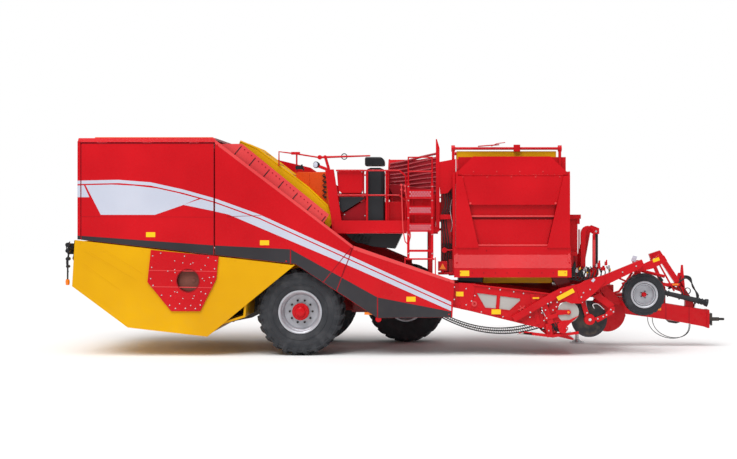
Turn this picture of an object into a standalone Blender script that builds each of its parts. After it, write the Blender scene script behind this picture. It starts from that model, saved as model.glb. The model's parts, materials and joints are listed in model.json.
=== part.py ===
"""Towed two-row potato harvester with an air separator at the rear and a bunker at the front.

Metres. +X is forward, +Y is left and +Z is up. The origin is on the ground, under the middle of the
machine. The digging front and the rising web run along the right side (-Y). Each function below builds
one sub-assembly, and each call of node() makes one named solid.
"""

import math

import bmesh
import bpy
from mathutils import Matrix, Vector

# ---------------------------------------------------------------- driving dimensions
WHEEL_RADIUS = 0.8125
WHEEL_STEPS = 32
WHEEL_Z = WHEEL_RADIUS * math.cos(math.pi / WHEEL_STEPS)  # the tyre stands on one facet
RIM_SEAT = 0.387
RIGHT_WHEEL_X = -1.96
LEFT_WHEEL_XS = (-1.86, -0.04)
RIGHT_TYRE_WIDTH = 0.80
LEFT_TYRE_WIDTH = 0.60
RIGHT_WHEEL_Y = -1.10
LEFT_WHEEL_Y = 1.30
RIGHT_KINGPIN_Y = -0.80
RIGHT_DISH = 0.13  # how far the wheel's disc lies outside its middle
LEFT_DISH = 0.06
HUB_RADIUS = 0.15
HUB_BORE = 0.072
AXLE_RADIUS = 0.058
AXLE_REACH = 0.07  # how far the stub axle passes the wheel's disc
DRUM_RADIUS = 0.17

SKIN_OUT = 1.62  # outer face of the side panels
SKIN_IN = 1.58
HOOD_REAR = -6.05
HOOD_FRONT = -3.52
DOOR_TOP = 3.935
DOOR_HINGE = (-1.625, 3.94)  # y, z
DOOR_MIDDLE_X = -4.76
BELLY_LINE = (-6.10, 2.157, -0.1133)  # a point and the slope of the edge between red and yellow
PANEL_PEAK = (-3.51, 4.0)
PANEL_KNEE = (-0.968, 2.05)
PANEL_NOSE = (0.90, 1.40)

FRAME_BEAMS_Y = (-0.04, 0.42)
FRAME_LOW = 1.00
FRAME_HIGH = 1.24
FRAME_REAR = -2.90
FRAME_FRONT = 4.05

INTAKE_PIVOT = (0.30, 1.05)  # x, z
INTAKE_RIGHT = -1.50
INTAKE_LEFT = -0.25
ROLLER = (2.62, 0.66)  # x, z of the digging web's front roller
BELT_LOW = 0.44  # height of the web where it hangs lowest
LIFT_TOP = (3.61, 2.30)
LIFT_FOOT = (3.61, 1.55)
LIFT_Y = -0.77

BUNKER_REAR = 0.93
BUNKER_FRONT = 3.05
HEAD_HINGE = (1.10, 2.08)  # y, z
DRAWBAR_PIVOT = (4.20, 0.27)  # x, y
DRAWBAR_END = 5.99
DRAWBAR_EAR = (4.60, 0.56)
SWING_FOOT = (3.30, 0.66)
SWING_Z = 0.84
JACK = (3.45, 0.90)
LADDER_HINGE = (-1.60, 1.80)  # y, z
DEPTH_PIVOT = (4.33, 1.69)
DEPTH_WHEEL = (4.455, 1.123)
DEPTH_RADIUS = 0.40
DEPTH_STEPS = 24
DEPTH_Y = -1.20
FAN_CENTRE = (-4.007, 1.403)
SHAFT_OFFSET = 0.12  # the drive shaft runs this far to the right of the drawbar's middle
GAP = 0.0005  # between pieces that touch

RED = ("red_paint", (0.72, 0.012, 0.016), 0.35, 0.0)
DARK_RED = ("dark_red_paint", (0.45, 0.010, 0.014), 0.45, 0.0)
ORANGE_RED = ("orange_red_paint", (0.75, 0.10, 0.02), 0.4, 0.0)
YELLOW = ("yellow_paint", (0.84, 0.47, 0.0), 0.45, 0.0)
BLACK = ("black_steel", (0.02, 0.02, 0.022), 0.5, 0.3)
GREY = ("silver_paint", (0.45, 0.46, 0.48), 0.35, 0.6)
STEEL = ("bright_steel", (0.5, 0.5, 0.5), 0.3, 0.9)
RUBBER = ("tyre_rubber", (0.03, 0.03, 0.033), 0.8, 0.0)
PLASTIC = ("black_plastic", (0.04, 0.04, 0.045), 0.5, 0.0)

DISCS = (  # name, centre x, centre z, y of the disc, radius, finish
    ("right", 3.415, 0.672, -1.37, 0.335, BLACK),
    ("left", 3.86, 0.715, -0.36, 0.350, DARK_RED),
)


# ---------------------------------------------------------------- shapes
def clear_scene():
    """Removes what the file opens with."""
    for obj in list(bpy.data.objects):
        bpy.data.objects.remove(obj, do_unlink=True)


def collection(name, hidden=False):
    """A new collection in the scene."""
    made = bpy.data.collections.new(name)
    made.hide_render = hidden
    bpy.context.scene.collection.children.link(made)
    return made


def material(spec):
    """The material of a finish, made the first time that it is asked for."""
    name, colour, roughness, metallic = spec
    made = bpy.data.materials.get(name)
    if made is None:
        made = bpy.data.materials.new(name)
        made.use_nodes = True
        shader = made.node_tree.nodes["Principled BSDF"]
        shader.inputs["Base Color"].default_value = (*colour, 1.0)
        shader.inputs["Roughness"].default_value = roughness
        shader.inputs["Metallic"].default_value = metallic
    return made


def shape(data):
    """A loose object that node() will join, cut or keep."""
    obj = bpy.data.objects.new("shape", data)
    obj.hide_render = True
    obj.display_type = "WIRE"
    SHAPES.objects.link(obj)
    return obj


def settled(obj, weld=1e-5):
    """The object's evaluated shape as a plain closed mesh with its faces pointing out."""
    graph = bpy.context.evaluated_depsgraph_get()
    mesh = bpy.data.meshes.new_from_object(obj.evaluated_get(graph))
    mesh.transform(obj.matrix_world)
    bpy.data.objects.remove(obj)
    bm = bmesh.new()
    bm.from_mesh(mesh)
    bmesh.ops.remove_doubles(bm, verts=bm.verts, dist=weld)
    bmesh.ops.recalc_face_normals(bm, faces=bm.faces)
    bm.to_mesh(mesh)
    bm.free()
    return shape(mesh)


def block(low, high):
    """A box from its lowest corner to its highest."""
    low, high = Vector(low), Vector(high)
    size, centre = high - low, (high + low) / 2
    bm = bmesh.new()
    place = Matrix.Translation(centre) @ Matrix.Diagonal((*size, 1.0))
    bmesh.ops.create_cube(bm, size=1.0, matrix=place)
    mesh = bpy.data.meshes.new("block")
    bm.to_mesh(mesh)
    bm.free()
    return shape(mesh)


def rod(start, end, radius, sides=12, end_radius=None):
    """A round bar, or a cone where end_radius is given, between two points."""
    start, end = Vector(start), Vector(end)
    turn = (end - start).to_track_quat("Z", "Y").to_matrix().to_4x4()
    bm = bmesh.new()
    bmesh.ops.create_cone(
        bm,
        cap_ends=True,
        segments=sides,
        radius1=radius,
        radius2=radius if end_radius is None else end_radius,
        depth=(end - start).length,
        matrix=Matrix.Translation((start + end) / 2) @ turn,
    )
    mesh = bpy.data.meshes.new("rod")
    bm.to_mesh(mesh)
    bm.free()
    return shape(mesh)


# A flat outline is drawn in X and Y, and these turn it into the plane that it belongs to.
SIDE_VIEW = Matrix(((1, 0, 0, 0), (0, 0, -1, 0), (0, 1, 0, 0), (0, 0, 0, 1)))  # outline is x, z
END_VIEW = Matrix(((0, 0, 1, 0), (1, 0, 0, 0), (0, 1, 0, 0), (0, 0, 0, 1)))  # outline is y, z
TOP_VIEW = Matrix.Identity(4)  # outline is x, y


def slab(outlines, low, high, view=SIDE_VIEW):
    """A flat outline, with any further outlines as holes in it, made solid from low to high."""
    curve = bpy.data.curves.new("slab", "CURVE")
    curve.dimensions = "2D"
    curve.fill_mode = "BOTH"
    curve.extrude = abs(high - low) / 2
    for outline in outlines if isinstance(outlines[0][0], (list, tuple)) else [outlines]:
        spline = curve.splines.new("POLY")
        spline.points.add(len(outline) - 1)
        for point, (u, v) in zip(spline.points, outline):
            point.co = (u, v, 0.0, 1.0)
        spline.use_cyclic_u = True
    obj = shape(curve)
    middle = (low + high) / 2
    obj.matrix_world = Matrix.Translation(view.to_3x3() @ Vector((0, 0, 1)) * middle) @ view
    if view is SIDE_VIEW:
        obj.matrix_world = Matrix.Translation((0, middle, 0)) @ view
    bpy.context.view_layer.update()
    return settled(obj)


def tube(points, radius, resolution=1):
    """A round tube along straight runs."""
    curve = bpy.data.curves.new("tube", "CURVE")
    curve.dimensions = "3D"
    curve.bevel_depth = radius
    curve.bevel_resolution = resolution
    curve.use_fill_caps = True
    spline = curve.splines.new("POLY")
    spline.points.add(len(points) - 1)
    for point, place in zip(spline.points, points):
        point.co = (*place, 1.0)
    obj = shape(curve)
    bpy.context.view_layer.update()
    return settled(obj)


def turned(profile, centre, axis, steps, phase=0.0):
    """A profile of (radius, distance along axis), turned round that axis through centre."""
    mesh = bpy.data.meshes.new("turned")
    closed = profile[0][0] > 0
    count = len(profile)
    ends = [(i, (i + 1) % count) for i in range(count if closed else count - 1)]
    mesh.from_pydata([(r, 0.0, a) for r, a in profile], ends, [])
    obj = shape(mesh)
    screw = obj.modifiers.new("turn", "SCREW")
    screw.steps = screw.render_steps = steps
    screw.use_merge_vertices = True
    screw.merge_threshold = 0.00005
    aim = Vector(axis).to_track_quat("Z", "Y").to_matrix().to_4x4()
    obj.matrix_world = Matrix.Translation(centre) @ aim @ Matrix.Rotation(phase, 4, "Z")
    bpy.context.view_layer.update()
    return settled(obj)


def circle(centre, radius, sides=16):
    """The outline of a circle."""
    step = 2 * math.pi / sides
    return [
        (centre[0] + radius * math.cos(i * step), centre[1] + radius * math.sin(i * step))
        for i in range(sides)
    ]


def offset(path, distance, closed):
    """The path moved sideways to its left by distance, with mitred corners."""
    moved = []
    count = len(path)
    for i, point in enumerate(path):
        before = path[(i - 1) % count] if closed or i > 0 else None
        after = path[(i + 1) % count] if closed or i < count - 1 else None
        sides = []
        for a, b in ((before, point), (point, after)):
            if a is not None and b is not None:
                run = Vector((b[0] - a[0], b[1] - a[1])).normalized()
                sides.append(Vector((-run.y, run.x)))
        normal = sum(sides, Vector((0, 0))).normalized()
        reach = distance / normal.dot(sides[0])
        moved.append((point[0] + normal.x * reach, point[1] + normal.y * reach))
    return moved


def band(path, thickness, closed=False):
    """The outline, or the two outlines of a closed loop, of a sheet that follows a path."""
    left = offset(path, thickness / 2, closed)
    right = offset(path, -thickness / 2, closed)
    return [left, right] if closed else left + right[::-1]


def loop_path(path, radius, arc=5):
    """A belt's line round a roller of this radius at each end of a path."""
    upper = offset(path, radius, False)
    lower = offset(path, -radius, False)[::-1]
    points = []
    for run, roller in ((upper, path[-1]), (lower, path[0])):
        points += run
        start = math.atan2(run[-1][1] - roller[1], run[-1][0] - roller[0])
        for i in range(1, arc):
            angle = start - math.pi * i / arc
            points.append((roller[0] + radius * math.cos(angle), roller[1] + radius * math.sin(angle)))
    return points


def pivots():
    """An empty on the joint's axis of each moving body, carried by the empty of the body that holds it."""
    steer_y, digging_y = RIGHT_KINGPIN_Y, (INTAKE_RIGHT + INTAKE_LEFT) / 2
    # body, place on its joint's axis, the body that carries it
    table = [
        ("steering_knuckle", (RIGHT_WHEEL_X, steer_y, WHEEL_Z), None),
        ("wheel_right", (RIGHT_WHEEL_X, RIGHT_WHEEL_Y, WHEEL_Z), "steering_knuckle"),
        ("wheel_left_rear", (LEFT_WHEEL_XS[0], LEFT_WHEEL_Y, WHEEL_Z), None),
        ("wheel_left_front", (LEFT_WHEEL_XS[1], LEFT_WHEEL_Y, WHEEL_Z), None),
        ("jack", (*JACK, 0.0), None),
        ("tow_bar", (*DRAWBAR_PIVOT, 0.80), None),
        ("digging_front", (INTAKE_PIVOT[0], digging_y, INTAKE_PIVOT[1]), None),
        ("depth_wheel_arm", (DEPTH_PIVOT[0], DEPTH_Y, DEPTH_PIVOT[1]), "digging_front"),
        ("depth_wheel", (DEPTH_WHEEL[0], DEPTH_Y, DEPTH_WHEEL[1]), "depth_wheel_arm"),
        ("door", (DOOR_MIDDLE_X, *DOOR_HINGE), None),
        ("bunker_side", (BUNKER_REAR, *HEAD_HINGE), None),
        ("ladder", (0.0, *LADDER_HINGE), None),
        ("fan", (FAN_CENTRE[0], 0.0, FAN_CENTRE[1]), None),
        ("lift_barrel", (LIFT_TOP[0], LIFT_Y, LIFT_TOP[1]), None),
        ("lift_rod", (LIFT_FOOT[0], LIFT_Y, LIFT_FOOT[1]), "lift_barrel"),
        ("swing_barrel", (*SWING_FOOT, SWING_Z), None),
        ("swing_rod", (*DRAWBAR_EAR, SWING_Z), "swing_barrel"),
    ]
    for name, x, z, y, _, _ in DISCS:
        table.append((f"{name}_disc", (x, y, z), "digging_front"))
    made = {}
    for body, place, carrier in table:
        made[body] = bpy.data.objects.new(body, None)
        made[body].empty_display_size = 0.2
        MACHINE.objects.link(made[body])
        made[body].parent = made.get(carrier)
        held = Vector((0, 0, 0)) if carrier is None else made[carrier].matrix_world.translation
        made[body].location = Vector(place) - held
        bpy.context.view_layer.update()
    return made


def node(name, finish, *shapes, cut=(), body=None):
    """Joins shapes into one named solid, cuts the cutters out of it, and hangs it on its body's empty."""
    made = shapes[0]
    for operation, others in (("UNION", shapes[1:]), ("DIFFERENCE", cut)):
        for other in others:
            modifier = made.modifiers.new(operation.title(), "BOOLEAN")
            modifier.operation = operation
            modifier.solver = "EXACT"
            modifier.object = other
    if made.modifiers:
        made = settled(made)
    for other in (*shapes[1:], *cut):
        bpy.data.objects.remove(other)
    SHAPES.objects.unlink(made)
    MACHINE.objects.link(made)
    made.name = name
    if body is not None:
        carrier = PIVOTS[body]
        made.data.transform(Matrix.Translation(-carrier.matrix_world.translation))
        made.parent = carrier
    made.data.name = name
    made.hide_render = False
    made.display_type = "TEXTURED"
    made.data.materials.clear()
    made.data.materials.append(material(finish))
    made.data.shade_smooth()
    made.data.set_sharp_from_angle(angle=math.radians(30))


def belly_edge(x):
    """Height of the slanting edge where the red panels end and the yellow belly begins."""
    start, height, slope = BELLY_LINE
    return height + slope * (x - start)


# ---------------------------------------------------------------- wheels
def tyre(name, centre, radius, width, seat, steps, body):
    """A plain tyre with bulging walls, open where it sits on its rim."""
    half = width / 2
    # radius, place across the tyre
    profile = [
        (seat, -0.86 * half),
        (seat + 0.20 * (radius - seat), -0.97 * half),
        (seat + 0.55 * (radius - seat), -half),
        (radius - 0.14 * (radius - seat), -0.94 * half),
        (radius, -0.78 * half),
        (radius, 0.78 * half),
        (radius - 0.14 * (radius - seat), 0.94 * half),
        (seat + 0.55 * (radius - seat), half),
        (seat + 0.20 * (radius - seat), 0.97 * half),
        (seat, 0.86 * half),
    ]
    phase = math.pi / 2 + math.pi / steps
    node(name, RUBBER, turned(profile, centre, (0, 1, 0), steps, phase), body=body)


def rim(name, centre, side, width, dish, body):
    """A dished rim with its hub, open on its inner side. side is +1 or -1, the way it faces."""
    half = 0.86 * width / 2 + 0.012
    outer = RIM_SEAT - 0.001
    # radius, distance outwards along the axle
    profile = [
        (0.0, dish + 0.15),
        (HUB_RADIUS, dish + 0.15),
        (HUB_RADIUS, dish + 0.02),
        (0.83 * RIM_SEAT, dish + 0.02),
        (outer - 0.03, dish + 0.06),
        (outer - 0.03, half - 0.03),
        (outer - 0.005, half),
        (outer, half),
        (outer, -half),
        (outer - 0.03, -half),
        (outer - 0.03, dish - 0.03),
        (HUB_BORE, dish - 0.03),
        (HUB_BORE, dish + 0.09),
        (0.0, dish + 0.09),
    ]
    phase = math.pi / 2 + math.pi / WHEEL_STEPS
    node(name, GREY, turned(profile, centre, (0, side, 0), WHEEL_STEPS, phase), body=body)


def knuckle():
    """Kingpin barrel, brake drum and stub axle of the steered right-hand wheel."""
    x, y = RIGHT_WHEEL_X, RIGHT_KINGPIN_Y
    tip = RIGHT_WHEEL_Y - RIGHT_DISH - AXLE_REACH
    drum = y - 0.11
    node(
        "knuckle_right",
        DARK_RED,
        rod((x, y, WHEEL_Z - 0.13), (x, y, WHEEL_Z + 0.13), 0.068, 16),
        rod((x, y, WHEEL_Z), (x, tip, WHEEL_Z), AXLE_RADIUS, 16),
        rod((x, drum, WHEEL_Z), (x, drum - 0.08, WHEEL_Z), DRUM_RADIUS, 20),
        body="steering_knuckle",
    )


def axle_fork():
    """The shapes that hold the kingpin: an end plate with an ear and a boss above and below."""
    x, y = RIGHT_WHEEL_X, RIGHT_KINGPIN_Y
    inner, plate, outer = y + 0.12, y + 0.08, y - 0.075
    shapes = [block((x - 0.10, plate, WHEEL_Z - 0.185), (x + 0.10, inner, WHEEL_Z + 0.185))]
    for way in (-1, 1):
        low, high = sorted((WHEEL_Z + way * 0.14, WHEEL_Z + way * 0.18))
        shapes.append(block((x - 0.085, outer, low), (x + 0.085, inner, high)))
        shapes.append(rod((x, y, WHEEL_Z + way * 0.16), (x, y, WHEEL_Z + way * 0.21), 0.05, 12))
    return shapes


def main_wheels():
    """One wide steered wheel on the right, and two on the left that stand one behind the other."""
    places = [("right", RIGHT_WHEEL_X, RIGHT_WHEEL_Y, RIGHT_TYRE_WIDTH, RIGHT_DISH)]
    for name, x in zip(("left_rear", "left_front"), LEFT_WHEEL_XS):
        places.append((name, x, LEFT_WHEEL_Y, LEFT_TYRE_WIDTH, LEFT_DISH))
    for name, x, y, width, dish in places:
        centre = (x, y, WHEEL_Z)
        body = f"wheel_{name}"
        tyre(f"tyre_{name}", centre, WHEEL_RADIUS, width, RIM_SEAT, WHEEL_STEPS, body)
        rim(f"rim_{name}", centre, math.copysign(1, y), width, dish, body)
    knuckle()


# ---------------------------------------------------------------- chassis
def chassis():
    """Frame beams, the right-hand axle, the left-hand bogie beam and the jack."""
    beams = [
        block((FRAME_REAR, y - 0.08, FRAME_LOW), (FRAME_FRONT, y + 0.08, FRAME_HIGH)) for y in FRAME_BEAMS_Y
    ]
    right, left = FRAME_BEAMS_Y
    for x in (-2.75, RIGHT_WHEEL_X, -0.95, 0.70, 2.40, 3.80):
        beams.append(block((x - 0.06, right, FRAME_LOW + 0.03), (x + 0.06, left, FRAME_HIGH - 0.03)))
    for x in (-1.25, 0.45):  # columns under the picking table
        beams.append(block((x - 0.05, right - 0.05, 1.2), (x + 0.05, right + 0.05, 2.46)))
        beams.append(block((x - 0.05, left - 0.05, 1.2), (x + 0.05, left + 0.05, 2.26)))
    hanger = LEFT_WHEEL_XS[0] / 2 + LEFT_WHEEL_XS[1] / 2
    beams.append(block((hanger - 0.16, left - 0.07, WHEEL_Z - 0.14), (hanger + 0.16, left + 0.07, 1.1)))
    arm_y = JACK[1] - 0.050
    beams.append(block((JACK[0] - 0.08, left, FRAME_LOW + 0.02), (JACK[0] + 0.08, arm_y, FRAME_HIGH - 0.02)))
    foot_x, foot_y = SWING_FOOT
    beams.append(block((foot_x - 0.05, left, SWING_Z + 0.072), (foot_x + 0.05, foot_y + 0.05, 1.1)))
    pivot_x, pivot_y = DRAWBAR_PIVOT
    for low, high in ((1.00, 1.06), (0.60, 0.64)):
        beams.append(block((3.72, pivot_y - 0.16, low), (pivot_x + 0.12, pivot_y + 0.16, high)))
    beams.append(block((3.72, pivot_y - 0.16, 0.60), (3.90, pivot_y + 0.16, 1.06)))
    for y in FRAME_BEAMS_Y:  # saddle under the bunker
        beams.append(block((BUNKER_REAR + 0.2, y - 0.05, 1.2), (BUNKER_FRONT - 0.2, y + 0.05, 1.479)))
    sleeve = [(0.065, 0.75), (0.065, 1.62), (0.047, 1.62), (0.047, 0.75)]
    beams.append(turned(sleeve, (*JACK, 0), (0, 0, 1), 16))
    node("main_frame", DARK_RED, *beams)

    x = RIGHT_WHEEL_X
    node(
        "axle_beam",
        DARK_RED,
        block((x - 0.09, RIGHT_KINGPIN_Y + 0.10, WHEEL_Z - 0.10), (x + 0.09, left + 0.06, WHEEL_Z + 0.10)),
        *axle_fork(),
        block((x - 0.07, right - 0.06, WHEEL_Z), (x + 0.07, right + 0.06, FRAME_LOW - GAP)),
        block((x - 0.07, left - 0.06, WHEEL_Z), (x + 0.07, left + 0.06, FRAME_LOW - GAP)),
    )
    rear, front = LEFT_WHEEL_XS
    inner = left + 0.07 + GAP
    tip = LEFT_WHEEL_Y + LEFT_DISH + AXLE_REACH
    node(
        "bogie_beam",
        DARK_RED,
        block((rear - 0.12, 0.74, WHEEL_Z - 0.13), (front + 0.12, 0.98, WHEEL_Z + 0.13)),
        rod((hanger, inner, WHEEL_Z), (hanger, 0.80, WHEEL_Z), 0.11, 20),
        *[rod((x, 0.90, WHEEL_Z), (x, tip, WHEEL_Z), AXLE_RADIUS, 16) for x in LEFT_WHEEL_XS],
        *[rod((x, 0.97, WHEEL_Z), (x, 1.14, WHEEL_Z), DRUM_RADIUS, 20) for x in LEFT_WHEEL_XS],
    )
    node(
        "jack_leg",
        STEEL,
        rod((*JACK, 0.01), (*JACK, 1.10), 0.040, 16),
        rod((*JACK, 0.0), (*JACK, 0.03), 0.15, 24),
        body="jack",
    )


# ---------------------------------------------------------------- rear separator
def rear_separator():
    """The tall rear box with its door, the yellow belly below it and the fan across it."""
    # y, z of the folded roof
    roof = [
        (-SKIN_OUT, 3.95),
        (-1.54, 4.035),
        (1.54, 4.035),
        (SKIN_OUT, 3.95),
        (SKIN_OUT, 3.90),
        (SKIN_IN, 3.90),
        (SKIN_IN, 3.93),
        (1.52, 3.995),
        (-1.52, 3.995),
        (-1.57, 3.95),
    ]
    low = belly_edge(HOOD_REAR) + 0.01
    node(
        "rear_hood",
        RED,
        slab(roof, HOOD_REAR, HOOD_FRONT, END_VIEW),
        block((HOOD_REAR, -1.57, low), (HOOD_REAR + 0.04, SKIN_OUT, 4.0)),
        block((HOOD_REAR, -SKIN_OUT, low), (HOOD_REAR + 0.055, -1.55, 3.97)),
        slab(
            [
                (HOOD_REAR, low),
                (HOOD_FRONT, belly_edge(HOOD_FRONT) + 0.01),
                (HOOD_FRONT, 3.94),
                (HOOD_REAR, 3.94),
            ],
            SKIN_IN,
            SKIN_OUT,
        ),
        block((HOOD_FRONT - 0.04, -0.12, 3.45), (HOOD_FRONT, 1.60, 4.0)),
        block((HOOD_FRONT - 0.04, -0.12, 1.95), (HOOD_FRONT, 1.60, 2.60)),
    )
    door_rear, door_front = HOOD_REAR + 0.062, HOOD_FRONT - 0.012
    node(
        "side_door",
        RED,
        slab(
            [
                (door_rear, belly_edge(door_rear) + 0.01),
                (door_front, belly_edge(door_front) + 0.01),
                (door_front, DOOR_TOP),
                (door_rear, DOOR_TOP),
            ],
            -SKIN_OUT,
            -SKIN_IN,
        ),
        body="door",
    )
    # x, z of the belly seen from the side, from the rear top round the bottom to the front
    cheek = [(-6.10, belly_edge(-6.10)), (-6.15, 1.304), (-5.124, 0.543), (-3.659, 0.374), (-2.053, 1.69)]
    cheek = [(x, z - 0.006) for x, z in cheek]
    window = circle(FAN_CENTRE, 0.26)
    node("belly_cheek_right", YELLOW, slab([cheek, window], -SKIN_OUT, -SKIN_IN))
    trough = [
        (-6.07, 2.12),
        (-6.12, 1.315),
        (-5.115, 0.57),
        (-3.67, 0.41),
        (-3.42, 0.60),
        (-2.98, 0.74),
        (-2.93, 1.30),
        (-2.62, 1.68),
    ]
    edge = SKIN_IN - GAP
    node("belly_trough", YELLOW, slab(band(trough, 0.04), -edge, edge))
    # x, z of the fan's bolted cover plate
    cover = [
        (-4.691, 1.966),
        (-3.444, 1.854),
        (-3.486, 1.432),
        (-3.782, 0.84),
        (-4.318, 0.84),
        (-4.754, 1.375),
    ]
    mouth = circle(FAN_CENTRE, 0.212)
    skin, out = SKIN_OUT + GAP, 1.65
    node("fan_cover_right", RED, slab([cover, mouth], -out, -skin))
    node(
        "belly_cheek_left",
        YELLOW,
        slab([cheek, window], SKIN_IN, SKIN_OUT),
        slab([cover, circle(FAN_CENTRE, 0.27)], SKIN_OUT - 0.01, out),
    )
    x, z = FAN_CENTRE
    blades = [rod((x, -1.55, z), (x, 1.55, z), 0.06, 12)]
    reach, pairs = 0.52, 4
    for i in range(pairs):
        blade = slab(band([(-reach, 0.0), (reach, 0.0)], 0.012), -1.45, 1.45)
        turn = Matrix.Rotation(math.pi * i / pairs, 4, "Y")
        blade.data.transform(Matrix.Translation((x, 0, z)) @ turn)
        blades.append(blade)
    node("fan_rotor", GREY, *blades, body="fan")


# ---------------------------------------------------------------- rising web channel
def channel():
    """Side panels, inner wall, belt, hinged strip and yellow cover of the rising channel."""
    node(
        "side_panel_mid",
        RED,
        slab(
            [
                (HOOD_FRONT + 0.006, belly_edge(HOOD_FRONT) + 0.01),
                (-2.03, belly_edge(-2.03) + 0.01),
                (-1.285, 1.212),
                (PANEL_KNEE[0] - 0.006, PANEL_KNEE[1]),
                (HOOD_FRONT + 0.006, PANEL_PEAK[1]),
            ],
            -SKIN_OUT,
            -SKIN_IN,
        ),
    )
    lug_x = (-0.02, 0.54)
    lugs = [block((x, -SKIN_OUT, 1.45), (x + 0.02, -SKIN_IN, LADDER_HINGE[1] + 0.03)) for x in lug_x]
    node(
        "side_panel_front",
        RED,
        slab(
            [
                (PANEL_KNEE[0] + 0.006, PANEL_KNEE[1] - 0.004),
                (-1.273, 1.204),
                (-0.517, 0.711),
                (0.864, 0.726),
                PANEL_NOSE,
            ],
            -SKIN_OUT,
            -SKIN_IN,
        ),
        *lugs,
    )
    # x, z of the inner wall
    wall = [
        (-3.50, 3.20),
        (-3.50, 3.92),
        (-3.05, 3.92),
        (-0.95, 2.20),
        (0.10, 1.75),
        (0.10, 0.80),
        (-1.0, 1.28),
        (-2.6, 2.30),
    ]
    path = [(0.02, 0.95), (-1.0, 1.49), (-3.34, 3.33)]
    rollers = [
        rod((x, -SKIN_IN + GAP, z), (x, -0.17, z), 0.055, 12)
        for x, z in (path[0], (-1.0, 1.47), (-1.75, 2.07), (-2.55, 2.70), path[-1])
    ]
    node("channel_wall", RED, slab(wall, -0.19, -0.15), *rollers)
    node("main_web", BLACK, slab(band(loop_path(path, 0.12), 0.025, True), -1.54, -0.22))
    strip = [(-3.46, 3.93), (-3.03, 3.93), (-1.42, 2.62), (-1.56, 2.40)]
    node("flap_strip", RED, slab(strip, -1.52, -1.48))
    cover = [(-3.10, 3.965), (-2.78, 3.83), (-1.84, 3.10), (-1.50, 2.78), (-1.40, 2.48)]
    node("channel_cover", YELLOW, slab(band(cover, 0.05), -1.35, -0.24))
    left = [
        (HOOD_FRONT + 0.006, belly_edge(HOOD_FRONT) + 0.01),
        (-2.60, 1.78),
        (-1.45, 2.25),
        (-1.45, 3.20),
        (-2.05, 3.60),
        (HOOD_FRONT + 0.006, 3.95),
    ]
    node("side_panel_left", RED, slab(left, SKIN_IN, SKIN_OUT))


# ---------------------------------------------------------------- picking platform
def picking_platform():
    """Floors, rails, table, duct, separator deck and ladder between the hood and the bunker."""
    # right-hand platform: floor, edge beam, corner column, rails
    floor = 2.30
    rails = []
    for z in (3.44, 2.98):
        rails.append(tube([(-1.30, -1.40, z), (-0.12, -1.40, z), (0.0, -1.40, z - 0.10)], 0.018))
    for x in (-0.72, -0.36):
        rails.append(rod((x, -1.40, 2.4), (x, -1.40, 3.44), 0.02, 8))
    rails.append(tube([(0.0, -1.40, 3.35), (0.0, -1.40, 2.32)], 0.018))
    node(
        "platform_right",
        RED,
        block((-1.33, -1.42, floor), (0.62, -0.84, floor + 0.04)),
        block((-1.33, -1.46, 2.27), (0.02, -1.41, 2.51)),
        slab([(-1.50, 3.46), (-1.34, 3.46), (-1.16, 2.30), (-1.36, 2.30)], -1.44, -1.36),
        slab([(0.56, 2.31), (0.56, 4.03), (0.58, 4.03), (0.63, 3.86), (0.63, 2.31)], -1.31, -1.24),
        *rails,
    )
    left_rails = []
    for z in (3.44, 2.98):
        left_rails.append(tube([(-1.28, 0.60, z), (-1.28, 1.44, z), (0.75, 1.44, z)], 0.018))
    for x, y in ((-1.28, 0.60), (-1.28, 1.44), (-0.30, 1.44), (0.75, 1.44)):
        left_rails.append(rod((x, y, 2.3), (x, y, 3.45), 0.02, 8))
    node(
        "platform_left",
        RED,
        block((-1.33, 0.32, floor), (0.80, 1.50, floor + 0.04)),
        *left_rails,
    )
    # the table's cross-section: y, z
    trough = [(-0.80, 2.86), (-0.80, 2.50), (0.28, 2.50), (0.28, 2.86)]
    hopper = [(-0.80, 2.80), (-0.80, 3.52), (-0.60, 3.66), (0.08, 3.66), (0.28, 3.52), (0.28, 2.80)]
    node(
        "picking_table",
        RED,
        slab(band(trough, 0.04), -1.27, 0.70, END_VIEW),
        slab(band(hopper, 0.03), -0.32, 0.58, END_VIEW),
    )
    node(
        "air_duct",
        PLASTIC,
        slab([(-0.77, 2.345), (-0.77, 3.70), (-0.47, 3.70), (-0.395, 3.58), (-0.395, 2.345)], -1.26, -0.88),
    )
    deck = [(0.02, 2.60), (0.02, 3.44), (1.30, 3.44), (1.30, 2.60)]
    node("separator_deck", ORANGE_RED, slab(band(deck, 0.04), -2.95, -1.56, END_VIEW))
    hinge_y, hinge_z = LADDER_HINGE
    out, inside = -1.55, -1.51
    steps = []
    for x in (0.03, 0.47):
        steps.append(block((x, out, hinge_z + 0.02), (x + 0.04, inside, 3.20)))
        ear = [
            (hinge_y, hinge_z - 0.02),
            (inside, hinge_z - 0.02),
            (inside, hinge_z + 0.1),
            (hinge_y, hinge_z + 0.02),
        ]
        steps.append(slab(ear, x, x + 0.04, END_VIEW))
    steps.append(rod((0.005, hinge_y, hinge_z), (0.535, hinge_y, hinge_z), 0.016, 10))
    for z in (1.93, 2.30, 2.62, 2.92):
        steps.append(block((0.05, out, z), (0.49, inside, z + 0.16 if z > 2 else z + 0.04)))
    grip_y = (out + inside) / 2
    hoop = [(0.05, grip_y, 3.15), (0.05, grip_y, 3.68), (0.49, grip_y, 3.68), (0.49, grip_y, 3.15)]
    steps.append(tube(hoop, 0.018))
    steps.append(rod((0.05, grip_y, 3.42), (0.49, grip_y, 3.42), 0.014, 8))
    node("access_ladder", RED, *steps, body="ladder")


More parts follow.
